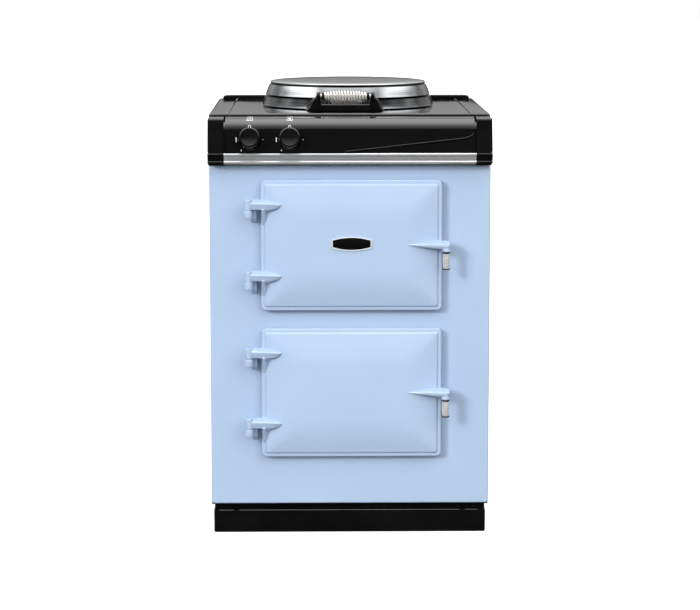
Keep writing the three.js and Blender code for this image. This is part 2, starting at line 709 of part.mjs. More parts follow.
function makeOvenElement(door) {
  const curve = new SerpentineCurve(ELEMENT_RUNS, ELEMENT_RUN_LENGTH - ELEMENT_PITCH, ELEMENT_PITCH);
  const floor = door.z - door.height / 2 + MOUTH_INSET - OVEN_LIP - OVEN_WALL;
  return tube(curve, ELEMENT_ROD, ELEMENT_STEPS, ELEMENT_SIDES).translate(
    DOOR_OFFSET_X,
    (BEHIND_FRONT + OVEN_BACK) / 2,
    floor - elementTop() - SEAT,
  );
}

function makeInsulation() {
  const half = HALF_WIDTH - RETURN_FLANGE - SEAT;
  const front = BEHIND_FRONT + SHEET + SEAT;
  const bottom = BODY_BOTTOM + 2 * SEAT;
  const block = box(-half, half, front, SERVICE_FRONT, bottom, FRONT_TOP - FRONT_EDGE);
  const pockets = DOORS.flatMap((door) => {
    const outside = door.height - 2 * MOUTH_INSET + 2 * (OVEN_LIP + OVEN_WALL) + 2 * SEAT;
    const width = OVEN_INSIDE + 2 * OVEN_WALL + 2 * SEAT;
    const pocket = roundedRect(width, outside, OVEN_CORNER, DOOR_OFFSET_X, door.z);
    const low = door.z - outside / 2;
    const element = box(
      DOOR_OFFSET_X - ELEMENT_RUN_LENGTH / 2 - 2 * ELEMENT_ROD,
      DOOR_OFFSET_X + ELEMENT_RUN_LENGTH / 2 + 2 * ELEMENT_ROD,
      BEHIND_FRONT,
      OVEN_BACK - OVEN_CORNER,
      low - 2 * ELEMENT_ROD - 2 * SEAT,
      low + 1,
    );
    return [frontPrism(pocket, BEHIND_FRONT - 1, OVEN_BACK + SEAT), element];
  });
  return cut(block, ...pockets);
}

// ---------------------------------------------------------------- doors

function doorRing(door, inset, radius, y) {
  return frontRing(DOOR_WIDTH / 2 - inset, door.height / 2 - inset, radius, y);
}

function makeDoorCasting(door) {
  const back = -DOOR_GAP;
  const rim = back - DOOR_RIM_THICK;
  const slope = (share) => [
    DOOR_RIM_WIDTH + 3 + share * DOOR_SLOPE_LENGTH,
    rim - 2 - (DOOR_PILLOW - 2) * Math.sin((share * Math.PI) / 2),
  ];
  const face = loft([
    doorRing(door, 0, DOOR_CORNER, back),
    doorRing(door, 0, DOOR_CORNER, rim + 3),
    doorRing(door, 1, DOOR_CORNER - 1, rim + 1),
    doorRing(door, 3, DOOR_CORNER - 3, rim),
    doorRing(door, DOOR_RIM_WIDTH, 4, rim),
    doorRing(door, DOOR_RIM_WIDTH + 1, 4, rim + 1.2),
    ...[0, 0.25, 0.5, 0.75, 1].map((share) => {
      const [inset, y] = slope(share);
      return doorRing(door, inset, 4 + share * 26, y);
    }),
  ]);
  const pocketFloor = rim - 2 + DOOR_WALL;
  const pocket = frontPrism(doorOutline(door, LINER_INSET, 6), pocketFloor, 1);
  const channel = doorOutline(door, ROPE_INSET, DOOR_CORNER - ROPE_INSET);
  channel.holes.push(doorOutline(door, ROPE_INSET + ROPE_WIDTH + 2 * SEAT, 2));
  const channelCut = frontPrism(channel, -ROPE_DEPTH - 2 * SEAT, 1);
  const arms = [-1, 1].flatMap((side) => makeArm((side * HINGE_SPACING) / 2));
  const bores = [-1, 1].map((side) => {
    const bore = rod(PIN_RADIUS + RUN, PIN_IN_KNUCKLE + RUN + 1, 16);
    return bore.translate(hingeX(), -HINGE_AXIS_Y, (side * HINGE_SPACING) / 2 - 1);
  });
  return cut(join(face, ...arms, ...makeRidge()), pocket, channelCut, ...bores);
}

function doorOutline(door, inset, radius) {
  return roundedRect(DOOR_WIDTH - 2 * inset, door.height - 2 * inset, radius);
}

function hingeX() {
  return -DOOR_WIDTH / 2 - HINGE_AXIS_X;
}

// Knuckle, tapering arm and rounded lobe of one hinge, standing on the seat at height z.
function makeArm(z) {
  const axis = hingeX();
  const foot = z + SEAT;
  const top = foot + KNUCKLE_HEIGHT;
  const knuckle = turned([
    [0, foot],
    [KNUCKLE_RADIUS, foot],
    [KNUCKLE_RADIUS, top - 2],
    [KNUCKLE_RADIUS - 2, top],
    [0, top],
  ], 16).translate(axis, -HINGE_AXIS_Y, 0);
  const section = (x, front, back, low, high, crease) => [
    [x, -back, low],
    [x, -back, high],
    [x, -(front + back) / 2, high],
    [x, -front, high - crease],
    [x, -front, low],
  ];
  const edge = axis + HINGE_AXIS_X;
  const tip = axis + ARM_REACH;
  const root = DOOR_GAP + ARM_ROOT;
  const arm = loft([
    section(axis, ARM_FRONT - 2, HINGE_AXIS_Y - 4, foot, top - 1, ARM_CREASE - 2),
    section(edge, ARM_FRONT, DOOR_GAP + 6, foot, top, ARM_CREASE),
    section(edge + ARM_NECK, ARM_FRONT, root, foot - ARM_BELLY, top - 1, ARM_CREASE),
    section(tip - ARM_TIP, DOOR_FRONT - 6, root, foot + 1, top - 6, ARM_CREASE - 2),
    section(tip, DOOR_FRONT - 9, root, foot + 6, top - 10, 3),
  ]);
  const lobeShape = new THREE.Shape();
  const radius = LOBE_WIDTH / 2;
  const low = z - LOBE_DROP + radius;
  lobeShape.moveTo(edge, foot + 1);
  lobeShape.absarc(edge + radius, low, radius, Math.PI, 2 * Math.PI, false);
  lobeShape.lineTo(edge + LOBE_NECK, foot + 1);
  const rim = DOOR_GAP + DOOR_RIM_THICK;
  const wedge = sidePrism(polygon([
    [-ARM_FRONT + 4, foot + 1],
    [-ARM_FRONT + 4, foot - ARM_BELLY],
    [-rim - 2, z - LOBE_DROP],
    [-rim + 6, z - LOBE_DROP],
    [-rim + 6, foot + 1],
  ]), edge - 1, edge + LOBE_WIDTH + 1);
  const lobe = common(frontPrism(lobeShape, -ARM_FRONT, -DOOR_GAP - 6, 0, 6), wedge);
  return [knuckle, arm, lobe];
}

// The handle is a ridge that grows out of the door face and ends in a lug past its edge.
function makeRidge() {
  const section = (x, front, back, low, high) => [
    [x, -back, low],
    [x, -back, high],
    [x, -(front + back) / 2, high],
    [x, -front, high - (high - low) * RIDGE_BEVEL],
    [x, -front, low + 1],
    [x, -front + 2, low],
  ];
  const low = RIDGE_LIFT - RIDGE_HEIGHT / 2;
  const high = RIDGE_LIFT + RIDGE_HEIGHT / 2;
  const root = DOOR_GAP + DOOR_RIM_THICK - 4;
  const edge = DOOR_WIDTH / 2;
  const ridge = loft([
    section(RIDGE_START, DOOR_FRONT - 6, root, RIDGE_LIFT - 4, RIDGE_LIFT - 1),
    section(RIDGE_START + RIDGE_TIP, DOOR_FRONT, root, RIDGE_LIFT - 6, RIDGE_LIFT + 3),
    section(edge - 8, RIDGE_FRONT - 3, root, low, high),
    section(RIDGE_END - 3, RIDGE_FRONT, root + 8, low, high),
    section(RIDGE_END, RIDGE_FRONT - 3, root + 11, low + 2, high - 2),
  ]);
  const boss = turned([
    [0, low - COLLAR_DROP],
    [GRIP_RADIUS + COLLAR_WIDTH - 1, low - COLLAR_DROP],
    [GRIP_RADIUS + COLLAR_WIDTH, low - COLLAR_DROP + 2],
    [GRIP_RADIUS + COLLAR_WIDTH, low + COLLAR_DROP - 1],
    [0, low + COLLAR_DROP - 1],
  ], 16).translate(GRIP_X, -gripY(), 0);
  return [ridge, boss];
}

function gripY() {
  return RIDGE_FRONT - GRIP_RADIUS - 2;
}

function makeGrip() {
  const top = RIDGE_LIFT - RIDGE_HEIGHT / 2 - COLLAR_DROP - SEAT;
  const end = GRIP_RADIUS * 0.8;
  return turned([
    [0, top],
    [end, top],
    [GRIP_RADIUS * 0.93, top - GRIP_LENGTH * 0.12],
    [GRIP_RADIUS, top - GRIP_LENGTH * 0.35],
    [GRIP_RADIUS, top - GRIP_LENGTH * 0.65],
    [GRIP_RADIUS * 0.93, top - GRIP_LENGTH * 0.88],
    [end, top - GRIP_LENGTH + 1],
    [end - 2, top - GRIP_LENGTH],
    [0, top - GRIP_LENGTH],
  ], 16).translate(GRIP_X, -gripY(), 0);
}

function makeLiner(door) {
  const flange = -DOOR_GAP - SHEET;
  const pan = loft([
    doorRing(door, LINER_INSET + SEAT, 5, flange),
    doorRing(door, LINER_INSET + SEAT, 5, -DOOR_GAP),
    doorRing(door, LINER_PLUG_INSET - 3, 8, -DOOR_GAP),
    doorRing(door, LINER_PLUG_INSET, 8, LINER_PLUG),
  ]);
  const hollow = loft([
    doorRing(door, LINER_PLUG_INSET - 1, 8, flange - 1),
    doorRing(door, LINER_PLUG_INSET - 1, 8, -DOOR_GAP - SHEET),
    doorRing(door, LINER_PLUG_INSET + 2, 8, LINER_PLUG - SHEET),
  ]);
  return cut(pan, hollow);
}

function makeDoorInsulation(door) {
  const back = -DOOR_GAP - SHEET - SEAT;
  const front = -DOOR_GAP - DOOR_RIM_THICK - 2 + DOOR_WALL + SEAT;
  return frontPrism(doorOutline(door, LINER_INSET + 1, 5), front, back);
}

function makeRope(door) {
  const ring = doorOutline(door, ROPE_INSET + SEAT, DOOR_CORNER - ROPE_INSET);
  ring.holes.push(doorOutline(door, ROPE_INSET + SEAT + ROPE_WIDTH, 2));
  return frontPrism(ring, -ROPE_DEPTH - SEAT, -SEAT, 1.2, 2);
}

// A blank barrel-shaped plate: bowed above and below, straight at its ends.
function makeBadge() {
  const half = BADGE_WIDTH / 2;
  const end = BADGE_END_HEIGHT / 2;
  const bow = BADGE_HEIGHT - end;
  const shape = new THREE.Shape();
  shape.moveTo(-half, BADGE_LIFT - end);
  shape.quadraticCurveTo(0, BADGE_LIFT - bow, half, BADGE_LIFT - end);
  shape.lineTo(half, BADGE_LIFT + end);
  shape.quadraticCurveTo(0, BADGE_LIFT + bow, -half, BADGE_LIFT + end);
  const front = -DOOR_FRONT - SEAT - BADGE_THICK;
  return frontPrism(shape, front, front + BADGE_THICK, 0.6, 8);
}

// One door, drawn about its own middle with the front plate's face at y = 0.
function makeDoor(door) {
  const group = new THREE.Group();
  group.position.set(DOOR_OFFSET_X, 0, door.z);
  add(group, `${door.name}_door_casting`, makeDoorCasting(door), BLUE_ENAMEL);
  add(group, `${door.name}_door_liner`, makeLiner(door), STEEL);
  add(group, `${door.name}_door_insulation`, makeDoorInsulation(door), WOOL);
  add(group, `${door.name}_door_rope_seal`, makeRope(door), ROPE);
  add(group, `${door.name}_door_grip`, makeGrip(), NICKEL);
  if (door.badge) add(group, `${door.name}_door_badge`, makeBadge(), BLACK_ENAMEL);
  return group;
}

// Lug on the front plate that carries one hinge arm, with its top at z = 0 on the hinge axis.
function makeHingeBracket() {
  const shape = new THREE.Shape();
  const back = HINGE_AXIS_Y - SEAT;
  shape.moveTo(-LUG_RADIUS, back);
  shape.absarc(0, 0, LUG_RADIUS, Math.PI, 2 * Math.PI, false);
  shape.lineTo(LUG_RADIUS, HINGE_AXIS_Y / 3);
  shape.lineTo(LUG_RADIUS + 9, back);
  const lug = planPrism(shape, -LUG_HEIGHT, 0, 1.2, 8);
  const web = sidePrism(polygon([
    [back, -WEB_DROP],
    [back, -1],
    [HINGE_AXIS_Y / 3, -1],
    [HINGE_AXIS_Y / 3, -LUG_HEIGHT],
  ]), LUG_RADIUS - 3, LUG_RADIUS + 8.5);
  const bore = rod(PIN_RADIUS + SEAT, PIN_IN_LUG + SEAT + 1, 16).translate(0, 0, -PIN_IN_LUG - SEAT);
  return cut(join(lug, web), bore);
}

function makeHinges(door) {
  const group = new THREE.Group();
  for (const [place, side] of [['top', 1], ['bottom', -1]]) {
    const hinge = new THREE.Group();
    hinge.position.set(
      DOOR_OFFSET_X + hingeX(),
      -HINGE_AXIS_Y,
      door.z + (side * HINGE_SPACING) / 2,
    );
    add(hinge, `${door.name}_hinge_bracket_${place}`, makeHingeBracket(), BLUE_ENAMEL);
    const pin = rod(PIN_RADIUS, PIN_IN_LUG + PIN_IN_KNUCKLE, 16).translate(0, 0, -PIN_IN_LUG);
    add(hinge, `${door.name}_hinge_pin_${place}`, pin, STEEL);
    group.add(hinge);
  }
  return group;
}

// ---------------------------------------------------------------- trim and fascia

// Two polished beads with a brushed flat between them, on a channel open to the back.
function trimOutline() {
  const front = -TRIM_FRONT;
  const low = TRIM_BOTTOM;
  const high = TRIM_TOP;
  const shape = new THREE.Shape();
  shape.moveTo(FRONT_THICK, low);
  const nose = front - TRIM_ROUND / 3;
  shape.lineTo(front + TRIM_ROUND, low);
  shape.quadraticCurveTo(nose, low + TRIM_BEAD / 2, front + TRIM_ROUND, low + TRIM_BEAD);
  shape.lineTo(front + TRIM_GROOVE * 2, low + TRIM_BEAD);
  shape.lineTo(front + TRIM_GROOVE * 2, low + TRIM_BEAD + TRIM_STEP);
  shape.lineTo(front + TRIM_GROOVE, low + TRIM_BEAD + TRIM_STEP);
  shape.lineTo(front + TRIM_GROOVE, high - TRIM_BEAD);
  shape.quadraticCurveTo(nose, high - TRIM_BEAD / 2, front + TRIM_ROUND, high);
  shape.lineTo(FRONT_THICK, high);
  return shape;
}

function makeTrim() {
  const half = TRIM_HALF;
  const strip = sidePrism(trimOutline(), -half, half, 4);
  const hollow = box(
    -half - 1,
    half + 1,
    -TRIM_FRONT + 2 * TRIM_GROOVE + SHEET,
    FRONT_THICK - SHEET,
    TRIM_BOTTOM + SHEET,
    TRIM_TOP - SHEET,
  );
  const slot = box(-half - 1, half + 1, 0, FRONT_THICK - SHEET, TRIM_BOTTOM - 1, TRIM_BOTTOM + 2 * SHEET);
  return join(cut(strip, hollow, slot), trimLeg(-half, half));
}

// Strip behind the trim's back edge that stands on the front plate and carries the trim.
function trimLeg(x0, x1) {
  return box(x0, x1, FRONT_THICK - 2 * SHEET, FRONT_THICK, FRONT_TOP + SEAT, TRIM_BOTTOM + SHEET);
}

function makeTrimCap(side) {
  const x0 = TRIM_HALF + SEAT;
  const cap = sidePrism(trimOutline(), x0, HALF_TOP, 4);
  const corner = TRIM_CAP_CORNER;
  const outline = roundedRect(
    HALF_TOP - x0 + 2 * corner,
    2 * (TRIM_FRONT + FRONT_THICK),
    corner,
    (HALF_TOP + x0) / 2 - corner,
    FRONT_THICK,
  );
  const rounded = common(cap, planPrism(outline, TRIM_BOTTOM - 1, TRIM_TOP + 1));
  const right = toGeometry(join(rounded, trimLeg(x0, HALF_WIDTH - TOP_OVERHANG)));
  return side > 0 ? right : outward(right.scale(-1, 1, 1));
}

// Bullnose section of the fascia in y and z, drawn in from its face by an inset.
function fasciaCurve(shape, inset) {
  const foot = -FASCIA_LEAN + inset;
  const top = FASCIA_TOP - inset;
  const knee = FASCIA_BOTTOM + FASCIA_KNEE;
  shape.lineTo(foot, FASCIA_BOTTOM);
  shape.lineTo(foot + FASCIA_RAKE, knee);
  shape.bezierCurveTo(
    foot + FASCIA_RAKE + FASCIA_SWELL_BACK,
    knee + FASCIA_SWELL_UP,
    foot + FASCIA_CROWN_BACK,
    top - FASCIA_CROWN_DROP,
    FASCIA_BACK,
    top,
  );
  return shape;
}

function fasciaSection(inset) {
  const shape = new THREE.Shape();
  shape.moveTo(FASCIA_BACK, FASCIA_BOTTOM);
  return fasciaCurve(shape, inset);
}

// The face at height z, before the bullnose begins, and its slope back.
function faceAt(z) {
  return -FASCIA_LEAN + (FASCIA_RAKE * (z - FASCIA_BOTTOM)) / FASCIA_KNEE;
}

function faceTilt() {
  return Math.atan2(FASCIA_RAKE, FASCIA_KNEE);
}

// What is cut from the panel's face below the line that rises to the right and turns up its end.
function swooshShape(end) {
  const low = FASCIA_BOTTOM;
  const shape = new THREE.Shape();
  shape.moveTo(-SWOOSH_START, low - 1);
  shape.lineTo(-SWOOSH_START, low + SWOOSH_START_RISE);
  shape.lineTo(end - SWOOSH_BEND, low + SWOOSH_BEND_RISE);
  shape.quadraticCurveTo(end - SWOOSH_TURN, low + SWOOSH_TURN_RISE, end, low + SWOOSH_END_RISE);
  shape.lineTo(end + 1, low + SWOOSH_END_RISE);
  shape.lineTo(end + 1, low - 1);
  return shape;
}

function makeFascia() {
  const cheek = HALF_TOP - CHEEK_WIDTH;
  const whole = (inset, x0, x1) => sidePrism(fasciaSection(inset), x0, x1, 8);
  const base = whole(SWOOSH_DEPTH, -HALF_TOP + SWOOSH_DEPTH, HALF_TOP - SWOOSH_DEPTH);
  const panel = whole(0, -cheek + CHEEK_GROOVE, cheek - CHEEK_GROOVE);
  const cheeks = [-1, 1].map((side) => {
    const x0 = Math.min(side * cheek, side * HALF_TOP);
    return whole(0, x0, x0 + CHEEK_WIDTH);
  });
  const swooshCut = frontPrism(
    swooshShape(cheek - CHEEK_GROOVE),
    -FASCIA_LEAN - 1,
    FASCIA_BACK - SWOOSH_DEPTH,
  );
  const hollow = whole(FASCIA_WALL + SWOOSH_DEPTH, -cheek, cheek);
  const corner = planPrism(
    roundedRect(TOP_WIDTH, 2 * BODY_DEPTH, FASCIA_CORNER, 0, BODY_DEPTH - FASCIA_LEAN),
    FASCIA_BOTTOM - 1,
    FASCIA_TOP + 1,
  );
  const shell = cut(join(base, cut(panel, swooshCut), ...cheeks), hollow);
  return cut(common(shell, corner), ...knobPlaces().map((place) => spindleHole(place)));
}

function knobPlaces() {
  return [0, 1].map((i) => {
    const z = FASCIA_BOTTOM + KNOB_HEIGHT;
    return [-HALF_TOP + KNOB_INSET + i * KNOB_PITCH, faceAt(z), z];
  });
}

// Turns a piece drawn along +Z so that it points out of the fascia's face at a knob's place.
function onFascia(geometry, [x, y, z], proud) {
  return geometry.translate(0, 0, proud).rotateX(Math.PI / 2 - faceTilt()).translate(x, y, z);
}

function spindleHole(place) {
  const reach = FASCIA_WALL + SWOOSH_DEPTH + KNOB_LENGTH;
  return onFascia(rod(SPINDLE_RADIUS + 1, 2 * reach, 16), place, -reach);
}

function makeKnob() {
  const knob = turned([
    [0, 0],
    [KNOB_RADIUS, 0],
    [KNOB_RADIUS, KNOB_SKIRT],
    [KNOB_RADIUS - KNOB_WAIST, KNOB_SKIRT + KNOB_WAIST],
    [KNOB_RADIUS - KNOB_WAIST - 0.5, KNOB_LENGTH - KNOB_CAP],
    [KNOB_RADIUS - KNOB_WAIST - 2, KNOB_LENGTH - KNOB_CAP / 4],
    [KNOB_RADIUS - KNOB_CROWN, KNOB_LENGTH],
    [0, KNOB_LENGTH],
  ], 28);
  const bore = rod(SPINDLE_RADIUS + SEAT, SPINDLE_IN_KNOB + SEAT + 1, 12).translate(0, 0, -1);
  return cut(knob, bore);
}

function makeKnobs() {
  const group = new THREE.Group();
  knobPlaces().forEach((place, i) => {
    const name = ['oven_knob', 'hotplate_knob'][i];
    add(group, name, onFascia(toGeometry(makeKnob()), place, SEAT + RUN), PHENOLIC);
    const start = -FASCIA_WALL - SWOOSH_DEPTH - SPINDLE_IN_BOX;
    const spindle = rod(SPINDLE_RADIUS, SPINDLE_IN_KNOB - start + SEAT, 12);
    add(group, `${name}_spindle`, onFascia(spindle, place, start), STEEL);
  });
  return group;
}

function makeSwitchBox() {
  const places = knobPlaces();
  const x0 = places[0][0] - SWITCH_MARGIN;
  const x1 = places[1][0] + SWITCH_MARGIN;
  const z = places[0][2];
  const half = SWITCH_BOX_HEIGHT / 2;
  const body = onFascia(
    box(x0 - places[0][0], x1 - places[0][0], -half, half, 0, SWITCH_BOX_DEPTH),
    places[0],
    -(FASCIA_WALL + SWOOSH_DEPTH) * Math.cos(faceTilt()) - SEAT - SWITCH_BOX_DEPTH,
  );
  const floor = -FASCIA_WALL - SWOOSH_DEPTH - SPINDLE_IN_BOX - 3;
  const holes = places.map((place) => onFascia(rod(SPINDLE_RADIUS + RUN, -2 * floor, 16), place, floor));
  const beyond = box(x0 - 1, x1 + 1, FASCIA_BACK - 1, BODY_DEPTH, z - FASCIA_HEIGHT, z + FASCIA_HEIGHT);
  return cut(body, ...holes, beyond);
}

// ---------------------------------------------------------------- top plate and rail

function makeTopPlate() {
  const depth = BODY_DEPTH - TOP_FRONT;
  const middle = (BODY_DEPTH + TOP_FRONT) / 2;
  const shape = roundedRect(TOP_WIDTH, depth, TOP_CORNER, 0, middle);
  const slab = planPrism(shape, HOB - TOP_DEPTH - 2 * TOP_EDGE, HOB, TOP_EDGE);
  const below = box(-HALF_TOP - 1, HALF_TOP + 1, 0, BODY_DEPTH + 1, 0, HOB - TOP_DEPTH);
  const pocket = box(
    -HALF_TOP + TOP_SKIRT,
    HALF_TOP - TOP_SKIRT,
    TOP_FRONT + TOP_SKIRT,
    BODY_DEPTH - TOP_SKIRT,
    0,
    HOB - TOP_THICK,
  );
  const hole = rod(HOTPLATE_RADIUS + 2 * SEAT, TOP_DEPTH, 40).translate(0, HOTPLATE_Y, HOB - TOP_DEPTH + 1);
  const grooves = [-1, 1].map((side) => {
    const x = side * (HALF_TOP - SIDE_GROOVE_INSET);
    return box(x - SIDE_GROOVE / 2, x + SIDE_GROOVE / 2, 0, BODY_DEPTH + 1, HOB - SIDE_GROOVE, HOB + 1);
  });
  return cut(slab, below, pocket, hole, ...grooves);
}

function makeRail() {
  const shape = new THREE.Shape();
  const half = HALF_TOP - TOP_CORNER;
  const low = HOB + SEAT;
  const high = low + RAIL_HEIGHT;
  shape.moveTo(-half, low);
  shape.lineTo(half, low);
  shape.lineTo(half, high - 4);
  shape.quadraticCurveTo(half, high, half - RAIL_CORNER, high);
  shape.lineTo(-half + RAIL_CORNER, high);
  shape.quadraticCurveTo(-half, high, -half, high - 4);
  const back = RAIL_FRONT + RAIL_DEPTH;
  const channel = box(
    -half + RAIL_CORNER,
    half - RAIL_CORNER,
    RAIL_FRONT + RAIL_LIP,
    back - RAIL_LIP,
    high - RAIL_CHANNEL,
    high + 1,
  );
  return cut(frontPrism(shape, RAIL_FRONT, back, 0, 4), channel);
}

// ---------------------------------------------------------------- hotplate and lid

function makeHotplate() {
  const flange = HOTPLATE_RADIUS + HOTPLATE_FLANGE;
  const low = HOB + SEAT;
  const high = low + HOTPLATE_FLANGE_THICK;
  return turned([
    [0, high - HOTPLATE_THICK],
    [HOTPLATE_RADIUS, high - HOTPLATE_THICK],
    [HOTPLATE_RADIUS, low],
    [flange, low],
    [flange, high - 1],
    [flange - 1, high],
    [0, high],
  ], 40).translate(0, HOTPLATE_Y, 0);
}

function makeHotplateElement() {
  const curve = new SerpentineCurve(ELEMENT_RUNS, HOTPLATE_RUN_LENGTH - ELEMENT_PITCH, ELEMENT_PITCH);
  const under = HOB + SEAT + HOTPLATE_FLANGE_THICK - HOTPLATE_THICK;
  return tube(curve, ELEMENT_ROD, ELEMENT_STEPS, ELEMENT_SIDES)
    .translate(0, HOTPLATE_Y, under - elementTop() - SEAT);
}

// Outside of the lid from rim to middle, drawn out from its face by a margin.
function lidProfile(margin) {
  return [
    [LID_RIM_RADIUS + margin, LID_RIM],
    [LID_RIM_RADIUS + margin, LID_RIM + LID_RIM_BAND],
    [LID_WAIST_RADIUS + 2 + margin, LID_RIM + LID_WAIST - 3],
    [LID_WAIST_RADIUS + margin, LID_RIM + LID_WAIST + margin],
    [LID_TOP_RADIUS + margin, LID_RIM + LID_SHOULDER],
    [LID_TOP_RADIUS - 1.5 + margin, LID_RIM + LID_SHOULDER + 3 + margin],
    [LID_TOP_RADIUS - 5 + margin, LID_RIM + LID_HEIGHT - 1 + margin],
    [LID_TOP_RADIUS - 11 + margin, LID_RIM + LID_HEIGHT + margin],
    [0, LID_RIM + LID_HEIGHT + margin],
  ];
}

// The lid's whole outside as one solid, carried a little below its rim.
function lidSolid(margin) {
  const profile = lidProfile(margin);
  return turned([[0, LID_RIM - 1], [LID_RIM_RADIUS + margin, LID_RIM - 1], ...profile], LID_FACETS);
}

function makeLidShell() {
  const inside = turned([
    [0, LID_RIM - 1],
    [LID_RIM_RADIUS - LID_WALL, LID_RIM - 1],
    [LID_RIM_RADIUS - LID_WALL, LID_RIM + LID_RIM_BAND - 1],
    [LID_WAIST_RADIUS - LID_WALL, LID_RIM + LID_WAIST],
    [LID_TOP_RADIUS - LID_WALL, LID_RIM + LID_SHOULDER],
    [LID_TOP_RADIUS - LID_WALL - 9, LID_RIM + LID_HEIGHT - LID_WALL],
    [0, LID_RIM + LID_HEIGHT - LID_WALL],
  ], LID_FACETS);
  return cut(turned([[0, LID_RIM], ...lidProfile(0)], LID_FACETS), inside);
}

function makeLidLiner() {
  const low = LID_RIM + LID_LINER_RISE;
  const taperFoot = LID_RIM_BAND - 1;
  const share = (LID_LINER_RISE + LID_LINER - taperFoot) / (LID_WAIST - taperFoot);
  const radius = LID_RIM_RADIUS - LID_WALL - share * LID_LOWER_TAPER - 2 * SEAT;
  return turned([
    [0, low],
    [radius, low],
    [radius, low + LID_LINER],
    [0, low + LID_LINER],
  ], 32);
}

function makeLidInsulation() {
  const low = LID_RIM + LID_LINER_RISE + LID_LINER + SEAT;
  const high = LID_RIM + LID_HEIGHT - LID_WALL - SEAT;
  return turned([
    [0, low],
    [LID_WAIST_RADIUS - LID_WALL - 2, low],
    [LID_WAIST_RADIUS - LID_WALL - 3, LID_RIM + LID_WAIST],
    [LID_TOP_RADIUS - LID_WALL - 3, LID_RIM + LID_SHOULDER - 2],
    [LID_TOP_RADIUS - LID_WALL - 12, high],
    [0, high],
  ], 32);
}

// Barrel between the two lugs and a strap that lies against the back of the lid.
function makeLidArm() {
  const [axisY, axisZ] = [LID_AXIS_Y, HOB + LID_AXIS_Z];
  const half = LID_ARM_WIDTH / 2;
  const barrel = rod(LID_BARREL, LID_ARM_WIDTH, 20).rotateY(Math.PI / 2).translate(-half, axisY, axisZ);
  const strap = box(
    -half,
    half,
    LID_WAIST_RADIUS - 8,
    axisY,
    axisZ - 4,
    axisZ - 4 + LID_ARM_HEIGHT / 2,
  );
  const bore = rod(LID_PIN_RADIUS + RUN, LID_ARM_WIDTH + 2, 16).rotateY(Math.PI / 2);
  return cut(join(barrel, strap), lidSolid(SEAT), bore.translate(-half - 1, axisY, axisZ));
}

function makeLidHingeBracket() {
  const [axisY, axisZ] = LID_AXIS;
  const inner = LID_ARM_WIDTH / 2 + SEAT;
  const outer = inner + LID_LUG_WIDTH;
  const foot = HOB + SEAT;
  const lugShape = new THREE.Shape();
  lugShape.moveTo(axisY - LID_BARREL, foot);
  lugShape.lineTo(axisY + LID_BARREL + LID_BASE_HEEL, foot);
  lugShape.lineTo(axisY + LID_BARREL, axisZ);
  lugShape.absarc(axisY, axisZ, LID_BARREL, 0, Math.PI, false);
  const lugs = [-outer, inner].map((x0) => sidePrism(lugShape, x0, x0 + LID_LUG_WIDTH, 8));
  const heel = axisY + LID_BARREL + LID_BASE_HEEL;
  const base = box(-outer, outer, axisY - 2, heel, foot, foot + LID_BASE_THICK);
  const bore = rod(LID_PIN_RADIUS + SEAT, 2 * outer + 2, 16).rotateY(Math.PI / 2);
  return cut(join(base, ...lugs), bore.translate(-outer - 1, axisY, axisZ));
}

function makeLidPin() {
  const outer = LID_ARM_WIDTH / 2 + SEAT + LID_LUG_WIDTH;
  const [axisY, axisZ] = LID_AXIS;
  return rod(LID_PIN_RADIUS, 2 * outer, 16).rotateY(Math.PI / 2).translate(-outer, axisY, axisZ);
}

// Casting at the front of the lid: a web low down and two arms that end in eyes for the rod.
function makeHandleCasting() {
  const y = -LID_WAIST_RADIUS - HANDLE_REACH;
  const z = HOB + HANDLE_RISE;
  const low = LID_RIM + 0.5;
  const half = HANDLE_SPAN / 2;
  const back = -LID_WAIST_RADIUS + HANDLE_ROOT;
  const arms = [-1, 1].map((side) => {
    const foot = side * (half + HANDLE_FOOT);
    const inner = side * (half - HANDLE_ARM_THICK);
    const tip = side * (half + HANDLE_ARM_THICK / 2);
    const tipInner = tip - side * HANDLE_ARM_THICK;
    const eyeFront = y - HANDLE_EYE / 2;
    const eyeBack = eyeFront + HANDLE_ARM_DEPTH;
    const section = (corners, height) => corners.map(([x, depth]) => [x, depth, height]);
    const arm = loft([
      section([[foot, back], [foot - side * 6, y + 18], [inner, y + 6], [inner, back]], low),
      section([
        [foot - side * 4, back],
        [foot - side * 14, y + 14],
        [inner + side * 2, y + 2],
        [inner + side * 2, back],
      ], low + HANDLE_WEB_HEIGHT - 3),
      section([[tip, eyeBack], [tip, eyeFront], [tipInner, eyeFront], [tipInner, eyeBack]], z),
    ]);
    const eye = rod(HANDLE_EYE, HANDLE_ARM_THICK, 20).rotateY(Math.PI / 2);
    return join(arm, eye.translate(side * half - HANDLE_ARM_THICK / 2, y, z));
  });
  const web = box(-half, half, y + HANDLE_EYE, back, low, low + HANDLE_WEB_HEIGHT);
  const bore = rod(HANDLE_ROD_RADIUS + SEAT, 4 * half, 16).rotateY(Math.PI / 2);
  const casting = cut(join(web, ...arms), bore.translate(-2 * half, y, z));
  return cut(toGeometry(casting).translate(HANDLE_X, 0, 0), lidSolid(SEAT));
}

function makeHandleRod() {
  const length = HANDLE_SPAN + HANDLE_ARM_THICK;
  const y = -LID_WAIST_RADIUS - HANDLE_REACH;
  return rod(HANDLE_ROD_RADIUS, length, 16)
    .rotateY(Math.PI / 2)
    .translate(HANDLE_X - length / 2, y, HOB + HANDLE_RISE);
}

// Wire wound round the rod, fuller in the middle than at its ends.
class BarrelCoil extends THREE.Curve {
  getPoint(t, target = new THREE.Vector3()) {
    const turn = 2 * Math.PI * COIL_TURNS * t;
    const swell = COIL_MID_RADIUS - COIL_END_RADIUS;
    const radius = COIL_END_RADIUS + swell * Math.sin(Math.PI * t);
    return target.set((t - 0.5) * COIL_LENGTH, radius * Math.cos(turn), radius * Math.sin(turn));
  }
}

